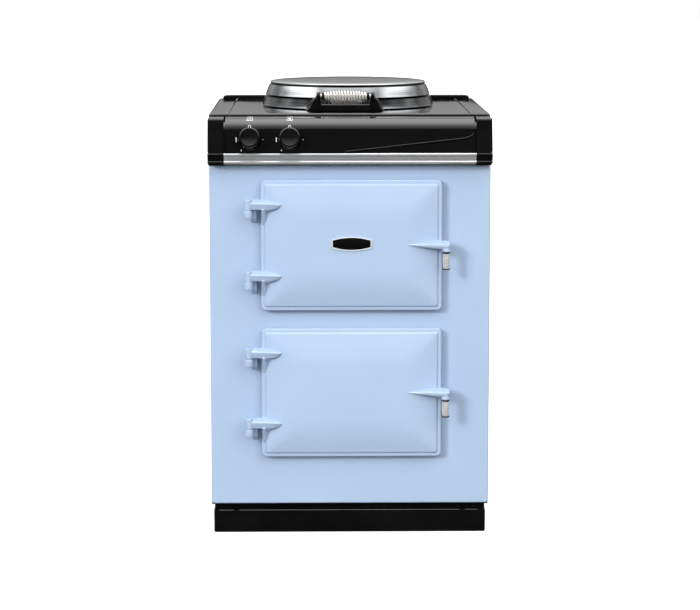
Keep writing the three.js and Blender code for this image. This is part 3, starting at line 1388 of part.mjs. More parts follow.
function makeCoil() {
  const y = -LID_WAIST_RADIUS - HANDLE_REACH;
  return tube(new BarrelCoil(), COIL_WIRE, COIL_TURNS * COIL_STEPS, COIL_SIDES)
    .translate(HANDLE_X, y, HOB + HANDLE_RISE);
}

// Least distance between the surfaces of neighbouring turns, measured on points of the coil.
function coilGap() {
  const curve = new BarrelCoil();
  const perTurn = 24;
  const points = curve.getPoints(COIL_TURNS * perTurn);
  let least = Infinity;
  for (let i = 0; i < points.length; i += 1) {
    for (let j = i + perTurn / 2; j < points.length; j += 1) {
      least = Math.min(least, points[i].distanceTo(points[j]));
    }
  }
  return least - 2 * COIL_WIRE;
}

function makeLid() {
  const group = new THREE.Group();
  group.position.set(0, HOTPLATE_Y, 0);
  add(group, 'lid_shell', makeLidShell(), STAINLESS);
  add(group, 'lid_liner', makeLidLiner(), STEEL);
  add(group, 'lid_insulation', makeLidInsulation(), WOOL);
  add(group, 'lid_hinge_arm', makeLidArm(), BLACK_ENAMEL);
  add(group, 'lid_handle_casting', makeHandleCasting(), BLACK_PAINT);
  add(group, 'lid_handle_rod', makeHandleRod(), NICKEL);
  add(group, 'lid_handle_coil', makeCoil(), NICKEL);
  return group;
}

// ---------------------------------------------------------------- assembly

const DOORS = [
  { name: 'upper', z: UPPER_DOOR_Z, height: UPPER_DOOR_HEIGHT, badge: true },
  { name: 'lower', z: LOWER_DOOR_Z, height: LOWER_DOOR_HEIGHT, badge: false },
];

const cooker = new THREE.Group();
add(cooker, 'plinth', makePlinth(), BLACK_PAINT);
add(cooker, 'base_tray', makeTray(), BLACK_PAINT);
for (const [place, sx, y] of [
  ['front_left', -1, TRAY_FRONT + FOOT_INSET],
  ['front_right', 1, TRAY_FRONT + FOOT_INSET],
  ['rear_left', -1, PANEL_BACK - FOOT_INSET],
  ['rear_right', 1, PANEL_BACK - FOOT_INSET],
]) {
  const foot = makeFoot().translate(sx * (TRAY_HALF - FOOT_INSET), y, 0);
  add(cooker, `levelling_foot_${place}`, foot, STEEL);
}
add(cooker, 'front_plate', makeFrontPlate(), BLUE_ENAMEL);
add(cooker, 'side_panel_left', makeSidePanel(-1), BLUE_ENAMEL);
add(cooker, 'side_panel_right', makeSidePanel(1), BLUE_ENAMEL);
add(cooker, 'back_panel', makeBackPanel(), GALVANISED);
add(cooker, 'terminal_box', makeTerminalBox(), PHENOLIC);
add(cooker, 'cable_gland', makeGland(), PHENOLIC);
for (const door of DOORS) {
  add(cooker, `${door.name}_oven_casting`, makeOven(door), RAW_IRON);
  add(cooker, `${door.name}_oven_shelf`, makeShelf(door), STEEL);
  add(cooker, `${door.name}_oven_element`, makeOvenElement(door), STEEL);
  cooker.add(makeHinges(door));
  cooker.add(makeDoor(door));
}
add(cooker, 'oven_insulation', makeInsulation(), WOOL);
add(cooker, 'trim_strip', makeTrim(), STAINLESS);
add(cooker, 'trim_cap_left', makeTrimCap(-1), BLACK_ENAMEL);
add(cooker, 'trim_cap_right', makeTrimCap(1), BLACK_ENAMEL);
add(cooker, 'fascia', makeFascia(), BLACK_ENAMEL);
add(cooker, 'switch_box', makeSwitchBox(), GALVANISED);
cooker.add(makeKnobs());
add(cooker, 'top_plate', makeTopPlate(), BLACK_ENAMEL);
add(cooker, 'rear_rail', makeRail(), BLACK_ENAMEL);
add(cooker, 'hotplate', makeHotplate(), RAW_IRON);
add(cooker, 'hotplate_element', makeHotplateElement(), STEEL);
add(cooker, 'lid_hinge_bracket', makeLidHingeBracket(), BLACK_ENAMEL);
add(cooker, 'lid_hinge_pin', makeLidPin(), STEEL);
cooker.add(makeLid());

console.log(`lid handle coil: least gap to itself ${coilGap().toFixed(2)} mm`);

// The origin is the middle of the footprint, so the depth is shared about y = 0.
cooker.position.y = (RIDGE_FRONT - BODY_DEPTH) / 2;
const part = new THREE.Group();
part.add(cooker);

export default part;
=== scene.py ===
import json
from math import atan2, cos, pi, radians, sin

import bmesh
import bpy
from mathutils import Matrix, Vector


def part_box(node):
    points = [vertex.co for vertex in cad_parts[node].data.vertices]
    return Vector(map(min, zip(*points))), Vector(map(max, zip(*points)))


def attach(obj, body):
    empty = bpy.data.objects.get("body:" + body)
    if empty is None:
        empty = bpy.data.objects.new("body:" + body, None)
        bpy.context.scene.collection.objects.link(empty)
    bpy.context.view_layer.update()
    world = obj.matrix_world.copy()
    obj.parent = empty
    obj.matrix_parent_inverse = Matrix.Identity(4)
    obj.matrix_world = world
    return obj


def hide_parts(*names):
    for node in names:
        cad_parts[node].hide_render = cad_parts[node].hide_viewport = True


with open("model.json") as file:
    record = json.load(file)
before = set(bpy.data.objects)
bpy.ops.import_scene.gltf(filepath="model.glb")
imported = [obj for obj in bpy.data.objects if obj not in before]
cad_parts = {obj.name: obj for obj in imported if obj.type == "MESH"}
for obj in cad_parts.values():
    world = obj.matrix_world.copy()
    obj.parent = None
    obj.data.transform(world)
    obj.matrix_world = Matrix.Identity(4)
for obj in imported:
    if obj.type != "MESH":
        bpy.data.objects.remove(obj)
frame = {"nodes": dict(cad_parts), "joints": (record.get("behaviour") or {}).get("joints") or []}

# ---- camera
# The photograph looks a little down on the cooker from five metres in front of it and slightly to its
# left, through a long lens that keeps the sides of the body nearly upright.
MM = 0.001
CAMERA_PLACE = Vector((-0.078, -5.179, 1.229))
CAMERA_AIM = Vector((0, -0.275, 0.501))
CAMERA_LENS = 120.1
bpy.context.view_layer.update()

bpy.ops.object.camera_add(location=CAMERA_PLACE)
camera = bpy.context.object
camera.rotation_euler = (CAMERA_AIM - CAMERA_PLACE).to_track_quat("-Z", "Y").to_euler()
camera.data.lens = CAMERA_LENS
camera.data.sensor_width = 36
camera.data.dof.use_dof = False
bpy.context.scene.camera = camera
bpy.context.scene.view_settings.view_transform = "Standard"


# ---- studio
# A white light table under and behind the cooker. Black enamel and steel mirror long strip lights across
# the ceiling and an upright soft box at each side. A key light stands at the left of the camera, and
# broad fills light the front, the right side and the back.
FLOOR_SIZE = 80
FLOOR_COLOUR = 0xF6F6F6
FLOOR_GLOW = 0.46
FLOOR_RETURN = 0.16
FLOOR_MIRRORED = 0.05
# Each lamp's name, the way it shines from, its strength and how wide it is, in degrees.
LAMPS = (
    ("key", (-0.95, -1, 0.55), 1.65, 14), ("fill", (0.05, -1, 0.52), 2.4, 100),
    ("side", (1, -0.12, 0.3), 1.4, 100), ("rear", (-0.3, 1, 0.35), 1.6, 100),
)
STRIP_STRENGTH = 4.5
# Share of the strip lights' strength against the angle from the front over the ceiling to the back, and
# against the way to either side.
STRIPS = (
    (0, 0.022), (20, 0.016), (28, 0.014), (33, 0.04), (40, 0.13), (50, 0.22), (66, 0.4), (84, 0.8), (102, 1),
    (120, 0.75), (138, 0.5), (149, 0.2), (165, 0.15), (175, 0.085), (177.2, 0.07), (178.6, 0.015),
    (180, 0.01),
)
SIDES = ((0, 1), (0.4, 1), (0.7, 0.3), (0.85, 0.19), (0.9, 0.12), (0.93, 0.07), (1, 0.03))
# The same share of the two soft boxes, from left to right and from the floor up, and of the daylight.
BOXES = ((0, 0.01), (0.04, 0.3), (0.15, 0.3), (0.22, 0), (0.8, 0), (0.87, 0.22), (0.95, 0.22), (1, 0.01))
BOX_FEET = ((0.69, 0), (0.77, 1))
DAYLIGHT = ((0.5, 0.12), (0.75, 0.3), (1, 0.6))


def srgb(value):
    """The linear colour of a finish that is written as an sRGB hex value."""
    shares = [(value >> shift & 255) / 255 for shift in (16, 8, 0)]
    return [s / 12.92 if s <= 0.04045 else ((s + 0.055) / 1.055) ** 2.4 for s in shares] + [1]


def node(tree, kind, settings=None, links=None, stops=()):
    """Adds one node: its settings, its sockets' values, what is linked into it, and a ramp's stops."""
    made = tree.nodes.new("ShaderNode" + kind)
    for name, value in (settings or {}).items():
        if isinstance(name, str) and hasattr(made, name):
            setattr(made, name, value)
        else:
            made.inputs[name].default_value = value
    linked(tree, made, links or {})
    while stops and len(made.color_ramp.elements) < len(stops):
        made.color_ramp.elements.new(0.5)
    for i, (place, colour) in enumerate(stops):
        made.color_ramp.elements[i].position = place
        made.color_ramp.elements[i].color = colour if isinstance(colour, list) else [colour] * 3 + [1]
    return made


def linked(tree, made, links):
    """Links outputs, or nodes by their first output, into a node's sockets."""
    for name, source in links.items():
        tree.links.new(getattr(source, "outputs", [source])[0], made.inputs[name])


def surface(name, settings, colour=None, sheen=None, relief=None, stretch=None):
    """A new node material on the object's own coordinates, with its tree, its shader and these.

    Its colour and sheen may each follow a noise: the size of its blotches in millimetres, its two ends
    and how fine it is. So may its relief: size, fineness, height in millimetres and strength.
    """
    material = bpy.data.materials.new(name)
    material.use_nodes = True
    tree = material.node_tree
    shader = tree.nodes["Principled BSDF"]
    for socket, value in settings.items():
        shader.inputs[socket].default_value = value
    place = node(tree, "TexCoord").outputs["Object"]
    if stretch:
        place = node(tree, "Mapping", {"Scale": stretch}, {"Vector": place})
    if colour:
        size, low, high, *detail = colour
        linked(tree, shader, {"Base Color": speckled(tree, place, size * MM, srgb(low), srgb(high), *detail)})
    if sheen:
        size, low, high = sheen
        linked(tree, shader, {"Roughness": speckled(tree, place, size * MM, low, high)})
    if relief:
        size, detail, height, strength = relief
        raised(tree, shader, speckled(tree, place, size * MM, 0, 1, detail), height * MM, strength)
    return material, tree, shader, place


def speckled(tree, place, size, low, high, detail=2):
    """A noise whose blotches are about one size across, spread between two values."""
    noise = node(tree, "TexNoise", {"Scale": 1 / size, "Detail": detail}, {"Vector": place})
    return node(tree, "ValToRGB", links={"Fac": noise}, stops=((0.3, low), (0.7, high)))


def raised(tree, shader, height, distance, strength=1):
    """Relief that the height gives to the surface, over a real distance."""
    bump = node(tree, "Bump", {"Distance": distance, "Strength": strength}, {"Height": height})
    linked(tree, shader, {"Normal": bump})


def light_studio():
    """The lights that gloss mirrors, even daylight for all that is matt, and white paper behind."""
    world = bpy.data.worlds.new("studio")
    bpy.context.scene.world = world
    world.use_nodes = True
    tree = world.node_tree
    tree.nodes.clear()
    way = node(tree, "TexCoord").outputs["Generated"]
    parts = node(tree, "SeparateXYZ", links={"Vector": way}).outputs
    front = node(tree, "Math", {"operation": "MULTIPLY", 1: -1}, {0: parts["Y"]})
    turn = node(tree, "Math", {"operation": "ARCTAN2"}, {0: parts["Z"], 1: front})
    arc = node(tree, "Math", {"operation": "DIVIDE", 1: pi}, {0: turn})
    aside = node(tree, "Math", {"operation": "ABSOLUTE"}, {0: parts["X"]})
    halved = {"operation": "MULTIPLY_ADD", 1: 0.5, 2: 0.5}
    across, height = (node(tree, "Math", halved, {0: parts[axis]}) for axis in "XZ")
    strips, sides, boxes, feet, day = (
        node(tree, "ValToRGB", links={"Fac": source}, stops=stops) for source, stops in (
            (arc, [(angle / 180, share) for angle, share in STRIPS]), (aside, SIDES), (across, BOXES),
            (height, BOX_FEET), (height, DAYLIGHT),
        )
    )
    strips = node(tree, "VectorMath", {"operation": "MULTIPLY"}, {0: strips, 1: sides})
    boxes = node(tree, "VectorMath", {"operation": "MULTIPLY"}, {0: boxes, 1: feet})
    lights = node(tree, "VectorMath", {"operation": "ADD"}, {0: strips, 1: boxes})
    mirrored = node(tree, "Background", {"Strength": STRIP_STRENGTH}, {"Color": lights})
    daylight = node(tree, "Background", links={"Color": day})
    paper = node(tree, "Background", {"Color": srgb(0xFFFFFF)})
    ray = node(tree, "LightPath").outputs
    room = node(tree, "MixShader", links={0: ray["Is Glossy Ray"], 1: daylight, 2: mirrored})
    whole = node(tree, "MixShader", links={0: ray["Is Camera Ray"], 1: room, 2: paper})
    node(tree, "OutputWorld", links={"Surface": whole})


def paper_floor():
    """White card, lit from beneath as a light table is. Little of it shines back on the cooker."""
    bpy.ops.mesh.primitive_plane_add(size=FLOOR_SIZE)
    floor = bpy.context.object
    floor.name = "floor"
    settings = {"Base Color": srgb(FLOOR_COLOUR), "Roughness": 0.9, "Specular IOR Level": 0.1}
    material, tree, card, _ = surface("white card", settings)
    ray = node(tree, "LightPath").outputs
    glow, returned, dark = (
        node(tree, "Emission", {"Strength": share}) for share in (FLOOR_GLOW, FLOOR_RETURN, FLOOR_MIRRORED)
    )
    lit = node(tree, "AddShader", links={0: card, 1: glow})
    unseen = node(tree, "MixShader", links={0: ray["Is Glossy Ray"], 1: returned, 2: dark})
    whole = node(tree, "MixShader", links={0: ray["Is Camera Ray"], 1: unseen, 2: lit})
    linked(tree, tree.nodes["Material Output"], {"Surface": whole})
    floor.data.materials.append(material)


light_studio()
for name, toward, strength, angle in LAMPS:
    bpy.ops.object.light_add(type="SUN", location=Vector(toward) * 5)
    lamp = bpy.context.object
    lamp.name = name
    lamp.rotation_euler = Vector(toward).to_track_quat("Z", "Y").to_euler()
    lamp.data.energy = strength
    lamp.data.angle = radians(angle)
    lamp.visible_glossy = False
paper_floor()


# ---- plinth, base tray and feet
# The plinth is a pressed steel skirt in black paint, set back under the body. A folded steel tray stands
# on it, and four zinc-plated levelling feet are screwed into the tray's underside.
PLINTH_EDGE = 2 * MM
TRAY_EDGE = 0.8 * MM
FOOT_RADIUS = 20 * MM
FOOT_PAD = 8 * MM
FOOT_ROUND = 2 * MM
FOOT_STEM = 6 * MM
THREAD_PITCH = 1.5 * MM
THREAD_DEPTH = 0.8 * MM


def clear():
    """Leaves edit mode, with nothing selected."""
    if bpy.context.object and bpy.context.object.mode == "EDIT":
        bpy.ops.object.mode_set(mode="OBJECT")
    bpy.ops.object.select_all(action="DESELECT")


def hold(piece):
    """Makes this piece the only one selected, and the active one."""
    clear()
    bpy.context.view_layer.objects.active = piece
    piece.select_set(True)


def block(lo, hi):
    """A cube drawn out to fill the space between two corners."""
    clear()
    lo, hi = Vector(lo), Vector(hi)
    bpy.ops.mesh.primitive_cube_add(size=1, location=(lo + hi) / 2)
    bpy.context.object.scale = hi - lo
    bpy.ops.object.transform_apply()
    return bpy.context.object


def choose(piece, kind, test):
    """In edit mode, selects the piece's VERTs, EDGEs or FACEs whose middle and direction pass a test."""
    hold(piece)
    bpy.ops.object.mode_set(mode="EDIT")
    bpy.ops.mesh.select_mode(type=kind)
    bpy.ops.mesh.select_all(action="DESELECT")
    mesh = bmesh.from_edit_mesh(piece.data)
    if kind == "VERT":
        found = [v for v in mesh.verts if test(v.co, v.normal)]
    elif kind == "EDGE":
        ends = [(e, e.verts[0].co, e.verts[1].co) for e in mesh.edges]
        found = [e for e, a, b in ends if test((a + b) / 2, (b - a).normalized())]
    else:
        found = [f for f in mesh.faces if test(f.calc_center_median(), f.normal)]
    for part in found:
        part.select_set(True)
    mesh.select_flush_mode()
    bmesh.update_edit_mesh(piece.data)


def modify(piece, kind, **settings):
    """Adds a modifier to the piece and applies it."""
    hold(piece)
    made = piece.modifiers.new(kind.lower(), kind)
    for name, value in settings.items():
        setattr(made, name, value)
    bpy.ops.object.modifier_apply(modifier=made.name)
    return piece


def rounded(piece, width, segments=3, angle=35):
    """Rounds every edge sharper than an angle."""
    return modify(
        piece, "BEVEL", width=width, segments=segments, limit_method="ANGLE", angle_limit=radians(angle),
        miter_outer="MITER_ARC",
    )


def merged(name):
    """A copy of a CAD node whose loose triangles are joined, with each flat face made whole."""
    clear()
    piece = bpy.data.objects.new(name + "_copy", frame["nodes"][name].data.copy())
    bpy.context.scene.collection.objects.link(piece)
    hold(piece)
    bpy.ops.object.mode_set(mode="EDIT")
    bpy.ops.mesh.select_all(action="SELECT")
    bpy.ops.mesh.remove_doubles(threshold=0.01 * MM)
    bpy.ops.mesh.dissolve_limited(angle_limit=radians(1))
    clear()
    return piece


def joined(*pieces):
    """Several meshes made one."""
    clear()
    for piece in pieces:
        piece.select_set(True)
    bpy.context.view_layer.objects.active = pieces[0]
    bpy.ops.object.join()
    return pieces[0]


def deliver(piece, name, material, smooth=35):
    """Names a finished piece, shades its curves smooth and gives it its one finish."""
    hold(piece)
    bpy.ops.object.transform_apply()
    bpy.ops.object.shade_smooth_by_angle(angle=radians(smooth))
    piece.name = name
    piece.data.name = name
    piece.data.materials.clear()
    piece.data.materials.append(material)
    return piece


def pressing(part, name, edge, segments, angle, material):
    """A CAD node's own shape with its edges rounded, delivered."""
    return deliver(rounded(merged(part), edge, segments, angle), name, material)


def dressed(name, material):
    """A CAD node that keeps its own shape and gets a finish."""
    mesh = frame["nodes"][name].data
    mesh.materials.clear()
    mesh.materials.append(material)


def stand(name):
    """The middle of a CAD node's underside, and its height."""
    lo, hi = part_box(name)
    return Vector(((lo.x + hi.x) / 2, (lo.y + hi.y) / 2, lo.z)), hi.z - lo.z


def extrude(step):
    """Extrudes what is selected by a step."""
    bpy.ops.mesh.extrude_region_move(TRANSFORM_OT_translate={"value": step})


def drawn(points):
    """A chain of edges, drawn by extruding one vertex from point to point, all selected in edit mode."""
    clear()
    bpy.ops.mesh.primitive_plane_add(size=MM, location=points[0])
    bpy.ops.object.transform_apply()
    bpy.ops.object.mode_set(mode="EDIT")
    bpy.ops.mesh.select_mode(type="VERT")
    bpy.ops.mesh.select_all(action="SELECT")
    bpy.ops.mesh.merge(type="CENTER")
    for start, end in zip(points, points[1:]):
        extrude(Vector(end) - Vector(start))
    bpy.ops.mesh.select_all(action="SELECT")
    return bpy.context.object


def sealed(piece):
    """Turns all the faces of a closed mesh outwards, and leaves edit mode."""
    bpy.ops.mesh.select_all(action="SELECT")
    bpy.ops.mesh.normals_make_consistent(inside=False)
    clear()
    return piece


def turned(profile, place, segments=64, axis=(0, 0, 1), out=(1, 0, 0)):
    """A lathe-turned piece: pairs of radius and height, spun round an axis that stands at a place."""
    axis, out, place = Vector(axis).normalized(), Vector(out).normalized(), Vector(place)
    piece = drawn([place + out * radius + axis * height for radius, height in profile])
    bpy.ops.mesh.spin(steps=segments, angle=2 * pi, center=place, axis=axis)
    bpy.ops.mesh.select_all(action="SELECT")
    bpy.ops.mesh.remove_doubles(threshold=0.005 * MM)
    return sealed(piece)


def zinc_plate():
    """Zinc-plated mild steel: pale and slightly cloudy, with a soft broad sheen and faint rolling lines."""
    settings = {"Metallic": 0.55, "Roughness": 0.34}
    material, tree, shader, place = surface("zinc-plated steel", settings, (70, 0xBFC2C5, 0xCBCDCF))
    rolled = node(tree, "Mapping", {"Scale": (0.02, 0.02, 1)}, {"Vector": place})
    linked(tree, shader, {"Roughness": speckled(tree, rolled, 0.8 * MM, 0.31, 0.37)})
    return material


# Semi-matt black stove paint, sprayed on steel: a fine orange peel and a faint dusty bloom.
black_paint, *_ = surface(
    "black stove paint", {"Roughness": 0.42, "Specular IOR Level": 0.35}, (90, 0x050506, 0x0B0B0C),
    (30, 0.36, 0.5), (1.2, 2, 0.03, 1),
)
steel = zinc_plate()

plinth = pressing("plinth", "plinth_skirt", PLINTH_EDGE, 3, 60, black_paint)
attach(plinth, "root")
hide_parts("plinth")

tray = pressing("base_tray", "base_tray_pressing", TRAY_EDGE, 2, 60, black_paint)
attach(tray, "root")
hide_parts("base_tray")

for corner in ("front_left", "front_right", "rear_left", "rear_right"):
    middle, stem = stand("levelling_foot_" + corner)
    profile = [
        (0, 0), (FOOT_RADIUS - FOOT_ROUND / 2, 0), (FOOT_RADIUS, FOOT_ROUND / 2),
        (FOOT_RADIUS, FOOT_PAD - FOOT_ROUND), (FOOT_RADIUS - FOOT_ROUND, FOOT_PAD), (FOOT_STEM, FOOT_PAD),
    ]
    height = FOOT_PAD + THREAD_PITCH
    while height < stem - THREAD_PITCH:
        profile += [(FOOT_STEM - THREAD_DEPTH, height), (FOOT_STEM, height + THREAD_PITCH / 2)]
        height += THREAD_PITCH
    profile += [(FOOT_STEM - MM, stem), (0, stem)]
    foot = deliver(turned(profile, middle, 32), "foot_" + corner, steel)
    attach(foot, "root")
    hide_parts("levelling_foot_" + corner)


# ---- front plate
# One flat iron casting with two oven mouths, fired with a glassy pale blue enamel that runs round its
# soft outer edges. It bolts to the frame from behind, so nothing shows on its face.
PLATE_CORNER = 7 * MM
PLATE_EDGE = 3.5 * MM
MOUTH_CORNER = 12 * MM
MOUTH_INSET = 26 * MM
MOUTH_DEPTH = 10 * MM
DOOR_WIDTH = 382 * MM
DOOR_HEIGHT = 277 * MM
doors, hinges = {}, {}
for name in ("upper", "lower"):
    hinges[name] = next(j for j in frame["joints"] if j["name"] == name + "_door_hinge")["pos_m"]
    liner, _ = stand(name + "_door_liner")
    doors[name] = Vector((liner.x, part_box("front_plate")[0].y, hinges[name][2]))


def carve(piece, tool):
    """Cuts a tool's shape from the piece, and puts the tool away."""
    modify(piece, "BOOLEAN", operation="DIFFERENCE", solver="EXACT", object=tool)
    bpy.data.objects.remove(tool)


def along_y(middle, way):
    return abs(way.y) > 0.99


def to_front(middle, way):
    return way.y < -0.99


def bevelled(piece, width, segments, test, kind="EDGE"):
    """Bevels the edges that pass a test, or the outline of the faces that do."""
    choose(piece, kind, test)
    if kind == "FACE":
        bpy.ops.mesh.region_to_loop()
    bpy.ops.mesh.bevel(offset=width, segments=segments)
    clear()
    return piece


# Vitreous enamel, glass fused on cast iron: even colour, a mirror-like skin and the slow ripple of the flow.
blue_enamel, *_ = surface(
    "pale blue vitreous enamel", {"IOR": 1.55, "Coat Weight": 0.9, "Coat Roughness": 0.04},
    (160, 0xB4CAE5, 0xB1C7E3), (25, 0.16, 0.21), (14, 1, 0.05, 0.6),
)

plate = block(*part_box("front_plate"))
bevelled(plate, PLATE_CORNER, 8, along_y)
bevelled(plate, PLATE_EDGE, 6, to_front, "FACE")
for centre in doors.values():
    half = Vector((DOOR_WIDTH / 2 - MOUTH_INSET, 0, DOOR_HEIGHT / 2 - MOUTH_INSET))
    mouth = block(centre - half - Vector((0, MM, 0)), centre + half + Vector((0, MOUTH_DEPTH, 0)))
    carve(plate, bevelled(mouth, MOUTH_CORNER, 8, along_y))
deliver(plate, "front_plate_casting", blue_enamel)
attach(plate, "root")
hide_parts("front_plate")


# ---- side and back panels
# Folded steel sheets. The sides are enamelled to match the front plate, and the ledge of their upper front
# notch closes up to the fascia. The back one is left galvanised, with vent slots and an inlet.
SHEET_EDGE = 1.2 * MM
SPANGLE = 14 * MM
LEDGE_LOW, LEDGE_HIGH = 800 * MM, 805 * MM
LEDGE_RISE = 22.3 * MM


def galvanised_sheet():
    """Hot-dip zinc on sheet steel: angular spangles that differ a little in grey and in sheen."""
    material, tree, shader, place = surface("galvanised sheet", {"Metallic": 0.45, "Roughness": 0.45})
    cells = node(tree, "TexVoronoi", {"Scale": 1 / SPANGLE}, {"Vector": place}).outputs["Color"]
    level = node(tree, "SeparateColor", links={"Color": cells})
    for socket, stops in (
        ("Base Color", ((0, srgb(0xA9AEB1)), (1, srgb(0xBCC0C2)))), ("Roughness", ((0, 0.36), (1, 0.56))),
    ):
        linked(tree, shader, {socket: node(tree, "ValToRGB", links={"Fac": level}, stops=stops)})
    return material


galvanised = galvanised_sheet()
dressed("back_panel", galvanised)

for side in ("left", "right"):
    panel = merged("side_panel_" + side)
    choose(panel, "VERT", lambda at, way: LEDGE_LOW < at.z < LEDGE_HIGH)
    bpy.ops.transform.translate(value=(0, 0, LEDGE_RISE))
    deliver(rounded(panel, SHEET_EDGE, 3, 60), "side_sheet_" + side, blue_enamel)
    modify(panel, "WEIGHTED_NORMAL", keep_sharp=True)
    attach(panel, "root")
    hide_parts("side_panel_" + side)


# ---- ovens
# Each oven is a cast iron box with ledges for a wire shelf, heated by a sheathed rod under its floor.
# Yellow mineral wool fills the casing round both of them.
SHELF_ROD = 3 * MM
SHELF_WIRE = 1.8 * MM
SHELF_WIRES = 13
SHELF_CORNER = 12 * MM


def round_loop(low, high, corner, steps):
    """Pairs of points round a rectangle with round corners, from its right side on."""
    points = []
    for quarter, (right, up) in enumerate(((1, 1), (-1, 1), (-1, -1), (1, -1))):
        x = (high[0] if right > 0 else low[0]) - right * corner
        y = (high[1] if up > 0 else low[1]) - up * corner
        for step in range(steps + 1):
            angle = pi / 2 * (quarter + step / steps)
            points.append((x + corner * cos(angle), y + corner * sin(angle)))
    return points


def wire(points, radius, sides=8, closed=False):
    """A round wire that follows the points."""
    clear()
    line = bpy.data.curves.new("wire", "CURVE")
    line.dimensions = "3D"
    line.bevel_depth = radius
    line.bevel_resolution = (sides - 4) // 2
    line.use_fill_caps = True
    run = line.splines.new("POLY")
    run.points.add(len(points) - 1)
    for point, place in zip(run.points, points):
        point.co = (*place, 1)
    run.use_cyclic_u = closed
    piece = bpy.data.objects.new("wire", line)
    bpy.context.scene.collection.objects.link(piece)
    hold(piece)
    bpy.ops.object.convert(target="MESH")
    return bpy.context.object


# Unpainted grey iron as cast and oiled: dark, matt and grainy, with faint brown in its hollows.
raw_iron, *_ = surface(
    "bare cast iron", {"Metallic": 0.3, "Roughness": 0.6}, (35, 0x4B4A49, 0x636367, 6), (8, 0.48, 0.7),
    (1.6, 4, 0.25, 1),
)
# Pressed mineral wool: matt straw-yellow fibres lying every way.
wool, *_ = surface(
    "mineral wool", {"Roughness": 0.95, "IOR": 1.3}, (3, 0xB9AC74, 0xDDD3A2, 8), None, (2, 8, 0.8, 1),
)
dressed("oven_insulation", wool)

for name in doors:
    dressed(name + "_oven_casting", raw_iron)
    dressed(name + "_oven_element", steel)
    lo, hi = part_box(name + "_oven_shelf")
    lo, hi = lo + Vector([SHELF_ROD] * 3), hi - Vector([SHELF_ROD] * 3)
    rim = [(x, y, lo.z) for x, y in round_loop((lo.x, lo.y), (hi.x, hi.y), SHELF_CORNER, 6)]
    bars = [wire(rim, SHELF_ROD, 12, closed=True)]
    level = lo.z + SHELF_ROD - SHELF_WIRE
    for i in range(1, SHELF_WIRES + 1):
        x = lo.x + i * (hi.x - lo.x) / (SHELF_WIRES + 1)
        bars.append(wire([(x, lo.y, level), (x, hi.y, level)], SHELF_WIRE))
    shelf = deliver(joined(*bars), name + "_shelf_rack", steel)
    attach(shelf, "root")
    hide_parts(name + "_oven_shelf")


# ---- hinge lugs and pins
# Small enamelled castings on the front plate, rounded in front and webbed below, that each carry a steel
# pin standing up. The doors' knuckles drop over the pins, so that a door lifts off.
LUG_EDGE = 1.4 * MM
LUG_RADIUS = 9 * MM
# The lug's rounded front: how far each point lies in from its radius, and up from its foot or top.
LUG_FOOT = ((1.8, 0), (0.5, 0.5), (0, 1.8))
LUG_TOP = ((0, -1.4), (0.4, -0.4), (1.4, 0))
LUG_HEIGHT = 17 * MM
HINGE_SPACING = 151 * MM
PIN_CHAMFER = 0.8 * MM
PIN_RADIUS = 4 * MM


def rod_profile(radius, foot, top, cut, both=False):
    """Profile of a rod with its upper end chamfered, or both."""
    lower = [(radius - cut, foot), (radius, foot + cut)] if both else [(radius, foot)]
    return [(0, foot)] + lower + [(radius, top - cut), (radius - cut, top), (0, top)]


for name in doors:
    for place in ("top", "bottom"):
        bracket = name + "_hinge_bracket_" + place
        lo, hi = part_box(bracket)
        foot = hi.z - LUG_HEIGHT
        profile = [(LUG_RADIUS - inward * MM, level + up * MM)
                   for level, points in ((foot, LUG_FOOT), (hi.z, LUG_TOP)) for inward, up in points]
        front = turned([(0, foot)] + profile + [(0, hi.z)], (lo.x + LUG_RADIUS, lo.y + LUG_RADIUS, 0), 40)
        lug = joined(rounded(merged(bracket), LUG_EDGE, 4, 30), front)
        deliver(lug, name + "_hinge_lug_" + place, blue_enamel)
        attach(lug, "root")
        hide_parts(bracket)
        foot, height = stand(name + "_hinge_pin_" + place)
        pin = turned(rod_profile(PIN_RADIUS, 0, height, PIN_CHAMFER), foot, 24)
        deliver(pin, name + "_hinge_rod_" + place, steel)
        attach(pin, "root")
        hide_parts(name + "_hinge_pin_" + place)


# ---- doors
# Each door is one enamelled iron casting: a flat rim, a pillowed face whose mitred corners fade into a
# level middle, two hinge arms with a lobe under each, and the ridge that carries the finger grip.
DOOR_CORNER = 10 * MM
DOOR_GAP = 4 * MM
DOOR_RIM = 14 * MM
RIM_ROUND = 3 * MM
FACE_INSET = 6.6 * MM
FACE_STEP = 3.2 * MM
FACE_STEP_WIDTH = 3.8 * MM
FACE_SINK = 0.8 * MM
FACE_RISE = 11.8 * MM
SLOPE_LENGTH = 76 * MM
FACE_CELL = 2 * MM
FINE_BAND = 20 * MM
FINE_SHARE = 0.3
MITRE_SOFT = 4.5 * MM
MITRE_FADE = 0.3
CHANNEL_INSET = 4 * MM
CHANNEL_WIDTH = 8.6 * MM
CHANNEL_DEPTH = 4.6 * MM
CHANNEL_CORNER = 2 * MM
POCKET_INSET = 17 * MM
POCKET_DEPTH = 8 * MM
POCKET_CORNER = 6 * MM
CAST_VOXEL = 0.8 * MM
CAST_SMOOTHING = 5
KNUCKLE_RADIUS = 7.3 * MM
KNUCKLE_HEIGHT = 22.5 * MM
KNUCKLE_CHAMFER = 1.2 * MM
CLEARANCE = 0.3 * MM
# Tables in millimetres. Of a hinge arm: how far past the door's edge, how far its front and back stand
# before the front plate, and its foot and top against the knuckle's. The first stands at the pin.
ARM_START = (36, 24, 0, 0)
ARM_SECTIONS = (
    (-6, 38, 12, 0, 0), (2, 38.5, 12, -3, 0), (8, 38.5, 12, -6, 0), (24, 37.5, 12, -1, -1),
    (35, 35.5, 12, 3, -2), (41, 33, 12, 5.5, -4), (44, 29, 12, 8, -8),
)
